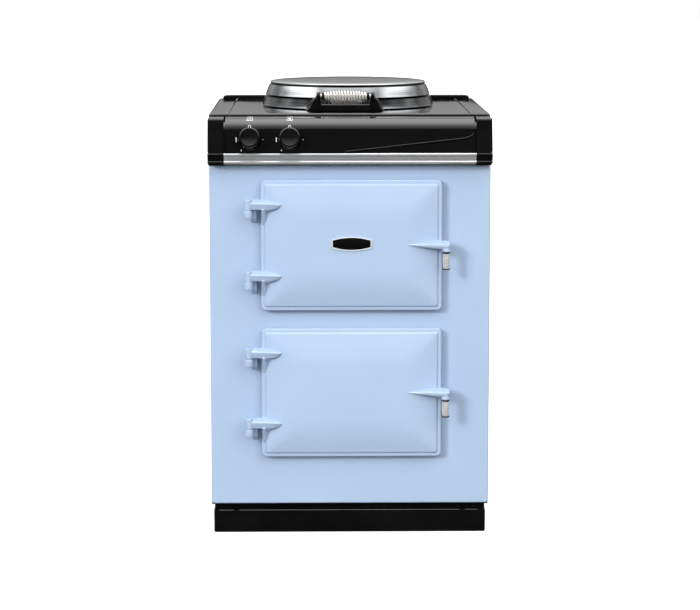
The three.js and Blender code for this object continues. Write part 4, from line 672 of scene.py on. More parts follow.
# Of the lobe: its drop below the pin's foot, its left side past the door's edge, its width and its front.
LOBE_RINGS = (
    (-3, 0.5, 9, 38), (6, 0.5, 10, 32.5), (14, 0.5, 11.5, 28), (22, 0.5, 13, 23.5), (28, 0.5, 11, 20.5),
    (32, 2.5, 6, 18.5),
)
LOBE_BACK = 12
LOBE_SIDES = 16
# Of the handle ridge: how far past the door's edge, its front and back, and its foot and top.
RIDGE_SECTIONS = (
    (-79, 31.5, 14, -2, 0.5), (-60, 36, 14, -4.5, 2.5), (-34, 42, 14, -7, 5.5), (-8, 47, 14, -9, 8.5),
    (6, 49.5, 22, -9.5, 8.5), (13, 50, 24, -9.5, 8), (16, 47, 27, -8, 6),
)
RIDGE_LIFT = 3.5 * MM
RIDGE_CREST = 0.34
RIDGE_LEVEL = 0.55
RIDGE_COLLAR = ((0, 0), (8.3, 0), (9.3, 1), (9.3, 3), (8.2, 9), (0, 9))


def face_place(distance):
    """Draws the grid's cells closer together near the edge of the face."""
    share = min(distance / FINE_BAND, 1)
    return distance * (FINE_SHARE + (1 - FINE_SHARE) * share)


def face_rise(across, up):
    """Height of the pillow above the rim, at distances from the nearest upright and level edge."""
    soft = MITRE_SOFT + MITRE_FADE * max(min(across, up), 0)
    overlap = max(soft - abs(across - up), 0) / soft
    inward = min(across, up) - overlap * overlap * soft / 4
    step = min(max(inward / FACE_STEP_WIDTH, 0), 1)
    step = step * step * (3 - 2 * step)
    slope = sin(pi / 2 * min(max(inward - FACE_STEP_WIDTH / 2, 0) / SLOPE_LENGTH, 1))
    return -FACE_SINK + (FACE_SINK + FACE_STEP) * step + FACE_RISE * slope


def door_rim(centre):
    """The flat casting behind the face, with a rope channel and a pocket for the liner in its back."""
    half = Vector((DOOR_WIDTH / 2, 0, DOOR_HEIGHT / 2))
    back = Vector((centre.x, centre.y - DOOR_GAP, centre.z))

    def cutter(inset, corner, depth, behind=0):
        lo, hi = back - half + Vector((inset, behind - depth, inset)), back + half - Vector((inset, 0, inset))
        return bevelled(block(lo, hi + Vector((0, behind + MM, 0))), corner, 6, along_y)

    rim = block(back - half - Vector((0, DOOR_RIM, 0)), back + half)
    bevelled(rim, DOOR_CORNER, 8, along_y)
    bevelled(rim, RIM_ROUND, 5, to_front, "FACE")
    channel = cutter(CHANNEL_INSET, DOOR_CORNER - CHANNEL_INSET, CHANNEL_DEPTH)
    carve(channel, cutter(CHANNEL_INSET + CHANNEL_WIDTH, CHANNEL_CORNER, CHANNEL_DEPTH + 2 * MM, MM))
    carve(rim, channel)
    carve(rim, cutter(POCKET_INSET, POCKET_CORNER, POCKET_DEPTH))
    return rim


def door_face(centre):
    """The pillow: a fine grid over the rim, raised by its distance from the edges."""
    width, height = DOOR_WIDTH - 2 * FACE_INSET, DOOR_HEIGHT - 2 * FACE_INSET
    front = centre.y - DOOR_GAP - DOOR_RIM
    clear()
    bpy.ops.mesh.primitive_grid_add(
        x_subdivisions=round(width / FACE_CELL), y_subdivisions=round(height / FACE_CELL), size=1,
        location=(centre.x, front, centre.z), rotation=(pi / 2, 0, 0),
    )
    face = bpy.context.object
    face.scale = (width, height, 1)
    bpy.ops.object.transform_apply()
    for vertex in face.data.vertices:
        spot = vertex.co
        sides = (1 if spot.x > centre.x else -1, 1 if spot.z > centre.z else -1)
        across = face_place(width / 2 - abs(spot.x - centre.x))
        up = face_place(height / 2 - abs(spot.z - centre.z))
        spot.x = centre.x + sides[0] * (width / 2 - across)
        spot.z = centre.z + sides[1] * (height / 2 - up)
        spot.y = front - face_rise(across, up)
    return face


def filled(outline):
    """A flat face with this outline, left in edit mode."""
    piece = drawn(outline)
    bpy.ops.mesh.edge_face_add()
    return piece


def lofted(rings):
    """A solid through closed rings of as many points: the first is filled, then extruded ring by ring."""
    piece = filled(rings[0])
    for before, after in zip(rings, rings[1:]):
        extrude((0, 0, 0))
        mesh = bmesh.from_edit_mesh(piece.data)
        for vertex in [v for v in mesh.verts if v.select]:
            at = min(range(len(before)), key=lambda i: (Vector(before[i]) - vertex.co).length)
            vertex.co = after[at]
        bmesh.update_edit_mesh(piece.data)
    return sealed(piece)


def cast_round(piece, smoothing=CAST_SMOOTHING):
    """Fuses the shapes of a piece into one skin and rounds its edges as a sand casting's are."""
    modify(piece, "REMESH", mode="VOXEL", voxel_size=CAST_VOXEL)
    return modify(piece, "SMOOTH", factor=0.5, iterations=smoothing)


def in_metres(profile):
    return [(radius * MM, height * MM) for radius, height in profile]


def hinge_arm(axis, edge, plate_y):
    """Knuckle, tapering arm and lobe, standing on the lug at the foot of the hinge axis."""
    foot = axis.z + CLEARANCE
    top = foot + KNUCKLE_HEIGHT

    def section(x, front, back, low, high):
        low, high = foot + low * MM, top + high * MM
        crest = high - min(7.5 * MM, (high - low) / 2)
        heel = max(low + MM, min(foot + 2 * MM, crest - 3 * MM))
        ring = [(back, low), (back, high), (back + (front - back) * 0.3, high), (front - 2, crest + 1.5 * MM)]
        ring += [(front, crest - MM), (front - 4, heel), (front - 14, low)]
        return [Vector((x, plate_y - y * MM, z)) for y, z in ring]

    arm = lofted([section(axis.x, *ARM_START)] + [section(edge + x * MM, *rest) for x, *rest in ARM_SECTIONS])
    knuckle = turned(rod_profile(KNUCKLE_RADIUS, foot, top, KNUCKLE_CHAMFER), (axis.x, axis.y, 0), 32)
    rings = []
    for drop, left, width, front in LOBE_RINGS:
        middle = Vector((edge + (left + width / 2) * MM, plate_y - LOBE_BACK * MM, axis.z - drop * MM))
        turns = [2 * pi * i / LOBE_SIDES for i in range(LOBE_SIDES)]
        rings.append([middle + MM * Vector((
            width / 2 * cos(turn), -(front - LOBE_BACK) * max(min(1.35 * sin(turn), 1), -0.3), 0,
        )) for turn in turns])
    return cast_round(joined(arm, knuckle, lofted(rings)))


def handle_ridge(name, centre):
    """A wedge that grows out of the face, widens past the door's edge and ends in a collar."""
    lift = centre.z + RIDGE_LIFT
    rings = []
    for x, front, back, low, high in RIDGE_SECTIONS:
        crest = high - (high - low) * RIDGE_CREST
        half = front - (front - back) * RIDGE_LEVEL
        ring = [(back, low + 1), (back, high), (half, high), (front - 1.5, crest + 1), (front, crest - 1)]
        ring += [(front, (low + crest) / 2), (front - 3, low + 1), (front - 8, low)]
        x = centre.x + DOOR_WIDTH / 2 + x * MM
        rings.append([Vector((x, centre.y - y * MM, lift + z * MM)) for y, z in ring])
    foot, height = stand(name + "_door_grip")
    collar = turned(in_metres(RIDGE_COLLAR), foot + Vector((0, 0, height + CLEARANCE)), 32)
    return cast_round(joined(lofted(rings), collar))


for name, centre in doors.items():
    parts = [door_rim(centre), door_face(centre)]
    for side in (1, -1):
        axis = Vector((hinges[name][0], hinges[name][1], centre.z + side * HINGE_SPACING / 2))
        parts.append(hinge_arm(axis, centre.x - DOOR_WIDTH / 2, centre.y))
    parts.append(handle_ridge(name, centre))
    body = deliver(joined(*parts), name + "_door_body", blue_enamel, 40)
    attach(body, name + "_door")
    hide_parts(name + "_door_casting")


# ---- door seals, liners and grips
# A braided glass-fibre rope lies in the channel behind the rim and a pressed steel pan closes the back of
# the door over its wool. The finger grip is a barrel of satin nickel between two black collars.
ROPE_PITCH = 5 * MM
ROPE_SIDES = 12
ROPE_BEND = 8 * MM
PAN_EDGE = 1.2 * MM
GRIP_RADIUS = 7.5 * MM
GRIP_BULGE = 1.2 * MM
GRIP_STEPS = 12
GRIP_RING = 2.6 * MM
# A wave texture has about this many waves in one unit at a scale of one.
WAVES = 3.2


def braided_rope():
    """Glass-fibre rope in a knitted sheath: matt dark grey, crossed by two sets of slanting strands."""
    material, tree, shader, place = surface("braided glass rope", {"Roughness": 0.9})
    strands = []
    for slant in (45, -45):
        turn = node(tree, "Mapping", {"Rotation": (0, radians(slant), 0)}, {"Vector": place})
        wave = node(tree, "TexWave", {"Scale": 1 / ROPE_PITCH / WAVES, "Distortion": 0.4}, {"Vector": turn})
        strands.append(wave.outputs["Fac"])
    crossed = node(tree, "Math", {"operation": "MULTIPLY"}, dict(enumerate(strands)))
    stops = ((0, srgb(0x2E2D2C)), (0.7, srgb(0x6B6965)))
    linked(tree, shader, {"Base Color": node(tree, "ValToRGB", links={"Fac": crossed}, stops=stops)})
    raised(tree, shader, crossed, 0.8 * MM)
    return material


def gloss_black(name):
    """Black vitreous enamel: deep, even and mirror-bright, with the same slow ripple as the blue."""
    noises = (120, 0x060607, 0x0B0B0D), (20, 0.07, 0.12), (16, 1, 0.03, 1)
    return surface(name, {"IOR": 1.52, "Roughness": 0.09}, *noises)[0]


rope = braided_rope()
# Nickel plate over brass, brushed round the bar: warm grey with a soft streaked highlight.
nickel, *_ = surface(
    "satin nickel", {"Metallic": 0.42, "Roughness": 0.3}, (0.6, 0xE0DDD8, 0xF3F1ED, 3), (0.8, 0.22, 0.36),
    stretch=(0.15, 0.15, 1),
)
black_enamel = gloss_black("black vitreous enamel")

for name in doors:
    lo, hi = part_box(name + "_door_rope_seal")
    radius = (hi.y - lo.y) / 2
    loop = round_loop((lo.x + radius, lo.z + radius), (hi.x - radius, hi.z - radius), ROPE_BEND, 5)
    path = [(x, (lo.y + hi.y) / 2, z) for x, z in loop]
    seal = deliver(wire(path, radius, ROPE_SIDES, closed=True), name + "_door_rope", rope)
    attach(seal, name + "_door")
    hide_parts(name + "_door_rope_seal")

    pan = pressing(name + "_door_liner", name + "_door_pan", PAN_EDGE, 2, 30, steel)
    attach(pan, name + "_door")
    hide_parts(name + "_door_liner")
    dressed(name + "_door_insulation", wool)

    foot, length = stand(name + "_door_grip")
    r = GRIP_RADIUS
    profile = [(0, 0), (r - 2.4 * MM, 0), (r - 1.2 * MM, 0.8 * MM), (r - MM, 2.4 * MM)]
    for share in [i / GRIP_STEPS for i in range(GRIP_STEPS + 1)]:
        profile.append((r - GRIP_BULGE * (2 * share - 1) ** 2, 3 * MM + share * (length - 5 * MM)))
    profile += [(r - 1.4 * MM, length - 0.8 * MM), (r - 2 * MM, length), (0, length)]
    grip = deliver(turned(profile, foot, 40), name + "_finger_grip", nickel, 50)
    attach(grip, name + "_door")
    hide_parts(name + "_door_grip")
    for end, level in (("top", length - GRIP_RING - 0.2 * MM), ("foot", 0)):
        ring = turned([
            (r - 2.6 * MM, 0), (r + 0.4 * MM, 0), (r + MM, GRIP_RING / 2), (r + 0.4 * MM, GRIP_RING),
            (r - 2.6 * MM, GRIP_RING), (r - 2.6 * MM, 0),
        ], foot + Vector((0, 0, level)), 40)
        deliver(ring, name + "_grip_ring_" + end, black_enamel)
        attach(ring, name + "_door")


# ---- badge
# A small barrel-shaped plate on the upper door: a bright plated frame round a panel of black enamel,
# left blank.
BADGE_FRAME = 2.2 * MM
BADGE_RECESS = 0.8 * MM
BADGE_END = 18 * MM
BADGE_STEPS = 16


def barrel_outline(lo, hi, inset, y):
    """Bowed above and below and straight at its ends, drawn in from its edge by an inset."""
    middle, centre = (lo.z + hi.z) / 2, (lo.x + hi.x) / 2
    half = (hi.x - lo.x) / 2 - inset
    end = BADGE_END / 2 - inset
    bow = (hi.z - lo.z) / 2 - inset - end
    shares = [2 * i / BADGE_STEPS - 1 for i in range(BADGE_STEPS + 1)]
    above = [(centre + half * share, end + bow * (1 - share ** 2)) for share in shares]
    return [Vector((x, y, middle + z)) for x, z in above + [(2 * centre - x, -z) for x, z in above]]


def prism(outline, depth):
    """A flat outline filled and pushed back or sideways."""
    piece = filled(outline)
    extrude(depth)
    return sealed(piece)


# Brushed and buffed stainless steel: hairlines along its length that spread a pale satin sheen. The
# badge's frame is the same, plated brighter.
stainless, *_ = surface(
    "brushed stainless steel", {"Metallic": 0.62, "Roughness": 0.2}, (0.8, 0xCFD1D3, 0xE6E7E8, 3),
    (0.7, 0.16, 0.26), stretch=(0.03, 1, 1),
)
plated, *_ = surface(
    "bright plated badge frame", {"Metallic": 0.2, "Roughness": 0.18}, (0.8, 0xEEF0F1, 0xFAFBFB, 3),
    (0.7, 0.144, 0.234), stretch=(0.03, 1, 1),
)

lo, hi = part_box("upper_door_badge")
badge = prism(barrel_outline(lo, hi, 0, hi.y), (0, lo.y - hi.y, 0))
choose(badge, "FACE", to_front)
bpy.ops.mesh.inset(thickness=BADGE_FRAME)
extrude((0, BADGE_RECESS, 0))
clear()
rounded(badge, 0.3 * MM, 2, 40)
deliver(badge, "badge_frame", plated)
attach(badge, "upper_door")
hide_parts("upper_door_badge")
inlay = prism(barrel_outline(lo, hi, BADGE_FRAME, lo.y + BADGE_RECESS + 0.1 * MM), (0, -0.5 * MM, 0))
rounded(inlay, 0.2 * MM, 2, 40)
deliver(inlay, "badge_inlay", black_enamel)
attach(inlay, "upper_door")


# ---- trim strip and caps
# A rolled stainless strip between the front plate and the fascia: two polished beads with a brushed flat
# that leans in to a dark step between them. A black cap closes each end.
BEAD = 6 * MM
BEAD_ROUND = 1.9 * MM
BEAD_STEPS = 8
STRIP_HEIGHT = 22 * MM
STRIP_FLAT = 0.8 * MM
STRIP_STEP = 5 * MM
STRIP_STEP_HEIGHT = 3.2 * MM
STRIP_LEAN = 2.4 * MM
STRIP_LEG = 3 * MM
CAP_ROUND = 2.5 * MM


def strip_outline(lo, hi, x):
    """Section of the strip, from the foot of its leg round the top to its two beads."""
    low = hi.z - STRIP_HEIGHT
    front = lo.y + 0.3 * MM
    groove = front + BEAD_ROUND
    shares = [i / BEAD_STEPS for i in range(BEAD_STEPS, -1, -1)]
    upper, lower = (
        [(front + BEAD_ROUND * (2 * share - 1) ** 2, level + share * BEAD) for share in shares]
        for level in (hi.z - BEAD, low)
    )
    step = low + BEAD + STRIP_STEP_HEIGHT
    points = [(hi.y, lo.z), (hi.y, hi.z), *upper, (groove + STRIP_FLAT, hi.z - BEAD)]
    points += [(groove + STRIP_FLAT + STRIP_LEAN, step), (groove + STRIP_STEP, step)]
    points += [(groove + STRIP_STEP, low + BEAD), *lower, (hi.y - STRIP_LEG, low), (hi.y - STRIP_LEG, lo.z)]
    return [Vector((x, y, z)) for y, z in points]


lo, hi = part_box("trim_strip")
strip = prism(strip_outline(lo, hi, lo.x), (hi.x - lo.x, 0, 0))
deliver(strip, "trim_rolled_strip", stainless, 30)
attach(strip, "root")
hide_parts("trim_strip")

for side in ("left", "right"):
    cap_lo, cap_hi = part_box("trim_cap_" + side)
    cap = prism(strip_outline(lo, hi, cap_lo.x), (cap_hi.x - cap_lo.x, 0, 0))
    outer = cap_hi.x if side == "right" else cap_lo.x
    bevelled(cap, CAP_ROUND, 4, lambda at, way: abs(at.x - outer) < 0.1 * MM and at.y < lo.y + 3 * MM)
    deliver(cap, "trim_end_cap_" + side, black_enamel, 40)
    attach(cap, "root")
    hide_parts("trim_cap_" + side)


# ---- fascia
# One bullnosed iron casting in black enamel. Cheeks with a squarer section and rounded ends stand behind
# fine grooves, and a shallow recess under a rising line is cast into the right of the middle panel.
FASCIA_RAKE = 12 * MM
FASCIA_KNEE = 41.61 * MM
FASCIA_STEPS = 28
# Controls of the bullnose's curve: behind the foot and above the knee, and behind the foot at the top.
NOSE_LOW = (14 * MM, 21 * MM)
NOSE_TOP = 31 * MM
CHEEK_WIDTH = 34 * MM
CHEEK_GROOVE = 3 * MM
CHEEK_ROUND = 5 * MM
CHEEK_LEAN = 7 * MM
CHEEK_BROW = 9 * MM
CHEEK_STEPS = 8
GROOVE_DEPTH = 9 * MM
SWOOSH_DEPTH = 3 * MM
SWOOSH_EDGE = 2 * MM
SWOOSH_BEAD = 1.5 * MM
# The rising line in millimetres: its left end from the middle, its turn up from the panel's right end.
SWOOSH_START = ((-12, -1), (-12, 1.6), (-9, 3.2))
SWOOSH_TURN = ((-30, 29.5), (-12, 31.8), (-1.5, 35), (0, 48))
SWOOSH_STEPS = 14
fascia_lo, fascia_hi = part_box("fascia")


def bezier(start, first, second, end, steps):
    """Points along a cubic curve, without its start."""
    start, first, second, end = (Vector(point) for point in (start, first, second, end))
    return [
        (1 - t) ** 3 * start + 3 * (1 - t) ** 2 * t * first + 3 * (1 - t) * t * t * second + t ** 3 * end
        for t in [i / steps for i in range(1, steps + 1)]
    ]


def fascia_outline(inset, x):
    """Section of the fascia: a face that leans back a little, then the bullnose up to the hob."""
    foot, low, top = fascia_lo.y + inset, fascia_lo.z, fascia_hi.z - inset
    knee = Vector((foot + FASCIA_RAKE, low + FASCIA_KNEE))
    first = (foot + NOSE_LOW[0], knee.y + NOSE_LOW[1])
    points = [Vector((fascia_hi.y, low)), Vector((foot, low)), knee]
    points += bezier(knee, first, (foot + NOSE_TOP, top), (fascia_hi.y, top), FASCIA_STEPS)
    return [Vector((x, p.x, p.y)) for p in points]


def cheek_outline(x):
    """Section of a cheek: squarer than the panel, with a tight round up to a level top."""
    foot, low, top, back = fascia_lo.y, fascia_lo.z, fascia_hi.z, fascia_hi.y
    brow = foot + FASCIA_RAKE + CHEEK_LEAN
    points = [(back, low), (foot, low), (foot + FASCIA_RAKE, low + FASCIA_KNEE)]
    for angle in [pi / 2 * step / CHEEK_STEPS for step in range(CHEEK_STEPS + 1)]:
        points.append((brow + CHEEK_BROW * (1 - cos(angle)), top - CHEEK_BROW * (1 - sin(angle))))
    return [Vector((x, y, z)) for y, z in points + [(back, top)]]


def panel_prism(inset, end):
    """The fascia's section drawn out between its two ends."""
    return prism(fascia_outline(inset, -end), (2 * end, 0, 0))


cheek = fascia_hi.x - CHEEK_WIDTH
panel_end = cheek - CHEEK_GROOVE
low = fascia_lo.z
panel = panel_prism(0, panel_end)
turn = [Vector((panel_end + x * MM, low + z * MM)) for x, z in SWOOSH_TURN]
line = [Vector((x * MM, low + z * MM)) for x, z in SWOOSH_START] + turn[:1] + bezier(*turn, SWOOSH_STEPS)
front = fascia_lo.y - MM
cut = [(x, front, z) for x, z in line]
cut += [(panel_end + MM, front, turn[3].y), (panel_end + MM, front, low - MM)]
carve(panel, prism(cut, (0, fascia_hi.y - SWOOSH_DEPTH - front, 0)))
rounded(panel, SWOOSH_EDGE, 3, 50)

section = fascia_outline(0, 0)
reach = panel_end - SWOOSH_BEAD
rising = [(min(x, reach), fascia_lo.y + FASCIA_RAKE * (z - low) / FASCIA_KNEE, z) for x, z in line[2:]]
rising += [(reach, p.y, p.z - SWOOSH_BEAD) for p in section if p.z > turn[3].y + 2 * MM]
left = [(-reach, p.y + SWOOSH_BEAD / 2, max(p.z - SWOOSH_BEAD, low + SWOOSH_BEAD)) for p in section[1:]]
castings = [panel, panel_prism(SWOOSH_DEPTH, panel_end - 0.5 * MM), panel_prism(GROOVE_DEPTH, cheek + MM)]
castings += [wire(rising, SWOOSH_BEAD, 12), wire(left, SWOOSH_BEAD, 12)]
for side in (-1, 1):
    end = prism(cheek_outline(side * cheek), (side * CHEEK_WIDTH, 0, 0))
    castings.append(bevelled(end, CHEEK_ROUND, 6, lambda at, way: abs(at.x - side * fascia_hi.x) < 0.1 * MM))
fascia = deliver(joined(*castings), "fascia_casting", black_enamel, 40)
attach(fascia, "root")
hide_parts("fascia")
dressed("switch_box", galvanised)


# ---- control knobs and their marks
# Two glossy black moulded knobs on steel spindles. Off marks, ticks and a plain sign for the oven or the
# hotplate are screen-printed in white round and above each one.
KNOB_TILT = atan2(FASCIA_RAKE, FASCIA_KNEE)
KNOB_HEIGHT = 28 * MM
KNOB_PLACES = {"oven_knob": -210.5 * MM, "hotplate_knob": -126.5 * MM}
KNOB_RISE = 0.6 * MM
KNOB_PROFILE = (
    (0, 0), (23.4, 0), (24, 0.5), (24, 3.4), (23.5, 4.2), (22.8, 5), (22.4, 7), (22, 20), (21.6, 22.4),
    (20.8, 23.9), (19.6, 24.7), (18.2, 25), (17.4, 24.8), (16.8, 24.5), (0, 24.3),
)
POINTER_HALF = (0.8 * MM, 0.6 * MM)
POINTER_LENGTH = 7 * MM
POINTER_REACH = 11 * MM
POINTER_RISE = 24.8 * MM
MARK_RADIUS = 28
MARK_LIFT = 0.12 * MM
RING_RISE = 55
# Printed bars in millimetres: where they stand round the knob, in degrees, and their width and height.
DIAL_MARKS = ((0, 2.4, 1.1), (180, 2, 9), (232, 1.6, 2.6))
# The signs' bars: aside from the knob, above the fascia's foot, width and height.
SIGN_FRAME = ((0, 66.8, 12, 1), (0, 72.2, 12, 0.5), (-6, 69.5, 1.5, 5.4), (6, 69.5, 1.5, 5.4))
SIGNS = {"oven_knob": ((0, 70.3, 12, 0.6), (0, 68.3, 6, 0.5)), "hotplate_knob": ((0, 69.5, 6, 2.2),)}
knob_out = Vector((0, -cos(KNOB_TILT), sin(KNOB_TILT)))
knob_up = Vector((0, sin(KNOB_TILT), cos(KNOB_TILT)))


def mark_bar(knob_x, aside, up, width, height):
    """A small upright rectangle of print, drawn in front of the fascia."""
    middle = Vector((knob_x + aside * MM, fascia_lo.y - 2.5 * MM, fascia_lo.z + up * MM))
    half = Vector((width / 2, 0.5, height / 2)) * MM
    bar = block(middle - half, middle + half)
    choose(bar, "FACE", lambda spot, normal: normal.y > -0.5)
    bpy.ops.mesh.delete(type="FACE")
    bpy.ops.mesh.select_all(action="SELECT")
    bpy.ops.mesh.subdivide(number_cuts=3)
    clear()
    return bar


def mark_ring(knob_x, up, radius, width):
    """A small printed ring, drawn in front of the fascia."""
    clear()
    bpy.ops.mesh.primitive_circle_add(
        vertices=24, radius=radius, fill_type="NGON", rotation=(pi / 2, 0, 0),
        location=(knob_x, fascia_lo.y - 2 * MM, fascia_lo.z + up * MM),
    )
    bpy.ops.object.transform_apply()
    bpy.ops.object.mode_set(mode="EDIT")
    bpy.ops.mesh.select_all(action="SELECT")
    bpy.ops.mesh.inset(thickness=width)
    bpy.ops.mesh.delete(type="FACE")
    clear()
    return bpy.context.object


# Phenolic resin moulded in polished steel: black, glossy and very faintly mottled.
phenolic, *_ = surface(
    "black phenolic moulding", {"IOR": 1.54, "Roughness": 0.14}, (20, 0x060606, 0x0D0D0E), (3, 0.1, 0.18),
)
# White ceramic ink, printed thin on the enamel and fired.
print_white, *_ = surface("white ceramic print", {"Roughness": 0.5}, (2, 0xD8D8D6, 0xF2F2F0))

for name, x in KNOB_PLACES.items():
    face_y = fascia_lo.y + FASCIA_RAKE * KNOB_HEIGHT / FASCIA_KNEE
    seat = Vector((x, face_y, fascia_lo.z + KNOB_HEIGHT)) + knob_out * KNOB_RISE
    knob = turned(in_metres(KNOB_PROFILE), seat, 72, knob_out, (1, 0, 0))
    deliver(knob, name + "_cap", phenolic, 40)
    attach(knob, name)
    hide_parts(name)
    pointer = rounded(block((*[-h for h in POINTER_HALF], 0), (*POINTER_HALF, POINTER_LENGTH)), 0.3 * MM, 2)
    spot = seat + knob_out * POINTER_RISE + knob_up * POINTER_REACH
    pointer.data.transform(Matrix.Translation(spot) @ Matrix.Rotation(-KNOB_TILT, 4, "X"))
    deliver(pointer, name + "_pointer", phenolic)
    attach(pointer, name)
    dressed(name + "_spindle", steel)

    marks = [mark_ring(x, RING_RISE, 3 * MM, 1 * MM)]
    for angle, *size in DIAL_MARKS:
        aside, up = MARK_RADIUS * cos(radians(angle)), MARK_RADIUS * sin(radians(angle))
        marks.append(mark_bar(x, aside, KNOB_HEIGHT / MM + up, *size))
    marks += [mark_bar(x, *bar) for bar in SIGN_FRAME + SIGNS[name]]
    printed = joined(*marks)
    modify(
        printed, "SHRINKWRAP", target=fascia, wrap_method="PROJECT", use_project_x=False, use_project_y=True,
        use_project_z=False, use_positive_direction=True, use_negative_direction=True, offset=MARK_LIFT,
    )
    deliver(printed, name + "_print", print_white)
    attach(printed, "root")


# ---- top plate and rear rail
# The hob is one flat casting in black enamel with soft edges, a round opening for the hotplate and a fine
# groove along each side. A low rail with rounded ends stands along the back.
HOB_CORNER = 12 * MM
HOB_EDGE = 6.5 * MM
HOTPLATE_HOLE = 166.6 * MM
HOB_GROOVE_X = 255 * MM
HOB_GROOVE = 3 * MM
RAIL_CORNER = 14 * MM
RAIL_SHOULDER = 4 * MM
RAIL_STEPS = 8
RAIL_LIP = 10 * MM
RAIL_CHANNEL = 2 * MM
RAIL_EDGE = 0.9 * MM

hob_black = gloss_black("black enamelled hob")
hob_lo, hob_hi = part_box("top_plate")
hotplate_lo, hotplate_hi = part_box("hotplate")
hotplate_middle = (hotplate_lo + hotplate_hi) / 2
hob = bevelled(block(hob_lo, hob_hi), HOB_CORNER, 8, lambda at, way: abs(way.z) > 0.99)
bevelled(hob, HOB_EDGE, 8, lambda at, way: way.z > 0.99, "FACE")
hole = rod_profile(HOTPLATE_HOLE, -40 * MM, 10 * MM, 0)
carve(hob, turned(hole, (hotplate_middle.x, hotplate_middle.y, hob_hi.z), 96))
for x in (-HOB_GROOVE_X, HOB_GROOVE_X):
    carve(hob, block(
        (x - HOB_GROOVE / 2, hob_lo.y - MM, hob_hi.z - HOB_GROOVE),
        (x + HOB_GROOVE / 2, hob_hi.y + MM, hob_hi.z + MM),
    ))
deliver(hob, "hob_casting", hob_black, 30)
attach(hob, "root")
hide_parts("top_plate")

lo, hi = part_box("rear_rail")
rise = [(lo.x, lo.z), (lo.x, hi.z - RAIL_SHOULDER)]
for t in [i / RAIL_STEPS for i in range(1, RAIL_STEPS + 1)]:
    rise.append((lo.x + RAIL_CORNER * t * t, hi.z - RAIL_SHOULDER * (1 - t) ** 2))
outline = rise + [(lo.x + hi.x - x, z) for x, z in rise[::-1]]
rail = prism([(x, lo.y, z) for x, z in outline], (0, hi.y - lo.y, 0))
inside = Vector((RAIL_CORNER, RAIL_LIP, -MM))
carve(rail, block((*(lo + inside).xy, hi.z - RAIL_CHANNEL), hi - inside))
rounded(rail, RAIL_EDGE, 3, 50)
deliver(rail, "rail_casting", black_enamel)
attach(rail, "root")
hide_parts("rear_rail")


# ---- hotplate
# A thick disc of cast iron with a machined top, left bare and seasoned, that drops into the hob on a thin
# flange. A sheathed element is pressed against it from below.
RING_PITCH = 2.2 * MM
# Radius and height against the top, in millimetres: the flange's rim from its own edge, then the top.
DISC_RIM = ((-0.4, -3), (0, -2.6), (0, -1.2), (-0.4, -0.4), (-1.4, 0))
DISC_TOP = ((158, 0), (157.4, -0.9), (155.6, -0.9), (155, 0), (0, 0))


def lathe_rings(tree, place, middle, pitch, **settings):
    """The fine rings that a lathe leaves round an upright axis."""
    centre = node(tree, "Mapping", {"Location": tuple(-middle)}, {"Vector": place})
    settings = {"wave_type": "RINGS", "rings_direction": "Z", "Scale": 1 / pitch / WAVES, **settings}
    return node(tree, "TexWave", settings, {"Vector": centre}).outputs["Fac"]


# Cast iron faced on a lathe and seasoned: dark, with fine rings that catch the light.
turned_iron, tree, shader, place = surface(
    "machined cast iron", {"Metallic": 0.55, "Roughness": 0.38}, (40, 0x545355, 0x6C6C70, 5),
)
raised(tree, shader, lathe_rings(tree, place, hotplate_middle, RING_PITCH, Distortion=0), 0.12 * MM)

rim, low = hotplate_hi.x - hotplate_middle.x, hotplate_lo.z - hotplate_hi.z
profile = [(0, low), (165 * MM, low), (166 * MM, low + MM), (166 * MM, -3 * MM)]
profile += [(rim + r * MM, h * MM) for r, h in DISC_RIM] + in_metres(DISC_TOP)
disc = turned(profile, (hotplate_middle.x, hotplate_middle.y, hotplate_hi.z), 128)
deliver(disc, "hotplate_disc", turned_iron, 30)
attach(disc, "root")
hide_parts("hotplate")
dressed("hotplate_element", steel)


# ---- lid hinge
# A black bracket with two lugs is screwed to the hob behind the hotplate. A steel pin through it carries
# the barrel and strap that are fixed to the back of the lid.
FORGING_EDGE = 1.2 * MM
ROD_CHAMFER = 0.8 * MM


def level_rod(name, segments):
    """A level rod in a CAD node's place, chamfered at both ends."""
    lo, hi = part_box(name)
    profile = rod_profile((hi.z - lo.z) / 2, 0, hi.x - lo.x, ROD_CHAMFER, True)
    return turned(profile, (lo.x, (lo.y + hi.y) / 2, (lo.z + hi.z) / 2), segments, (1, 0, 0), (0, 0, 1))


for name, body in (("lid_hinge_bracket", "root"), ("lid_hinge_arm", "lid")):
    forging = pressing(name, name + "_casting", FORGING_EDGE, 3, 40, black_enamel)
    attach(forging, body)
    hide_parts(name)
pin = deliver(level_rod("lid_hinge_pin", 24), "lid_hinge_rod", steel)
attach(pin, "root")
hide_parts("lid_hinge_pin")


# ---- lid
# A heavy dished cover spun from stainless steel and polished: a rim that stands on a recessed foot, a
# band above it between two sharp creases, and a nearly flat top. A pressed pan closes it below.
LID_SEGMENTS = 160
LID_HEIGHT = 57 * MM
# Its skin outside and inside: radius and height in millimetres.
LID_OUTER = (
    (185.4, 0), (185.4, 1.5), (189, 1.9), (190, 2.8), (189.4, 4.6), (188.4, 8), (187.2, 13), (186, 18),
    (185.1, 22), (181.2, 22.2), (182.2, 26.4), (182.9, 26.6), (181.9, 29), (180.1, 34), (178.2, 39),
    (176.1, 44), (174.2, 48.2), (171.2, 48.4), (172.2, 52.2), (172.7, 53), (172.4, 54), (170.8, 54.9),
    (165.6, 55.8), (154, 56.6), (120, 57), (0, 57),
)
LID_INNER = ((0, 54.5), (150, 54.1), (167, 53), (171, 46), (178, 29), (179, 21), (183, 5), (183, 0))
PAN_RIB = ((0, 0), (120, 0), (124, 0.8), (150, 0.8), (154, 0))
PAN_ROUND = 0.6 * MM
SPUN_PITCH = 1.5 * MM
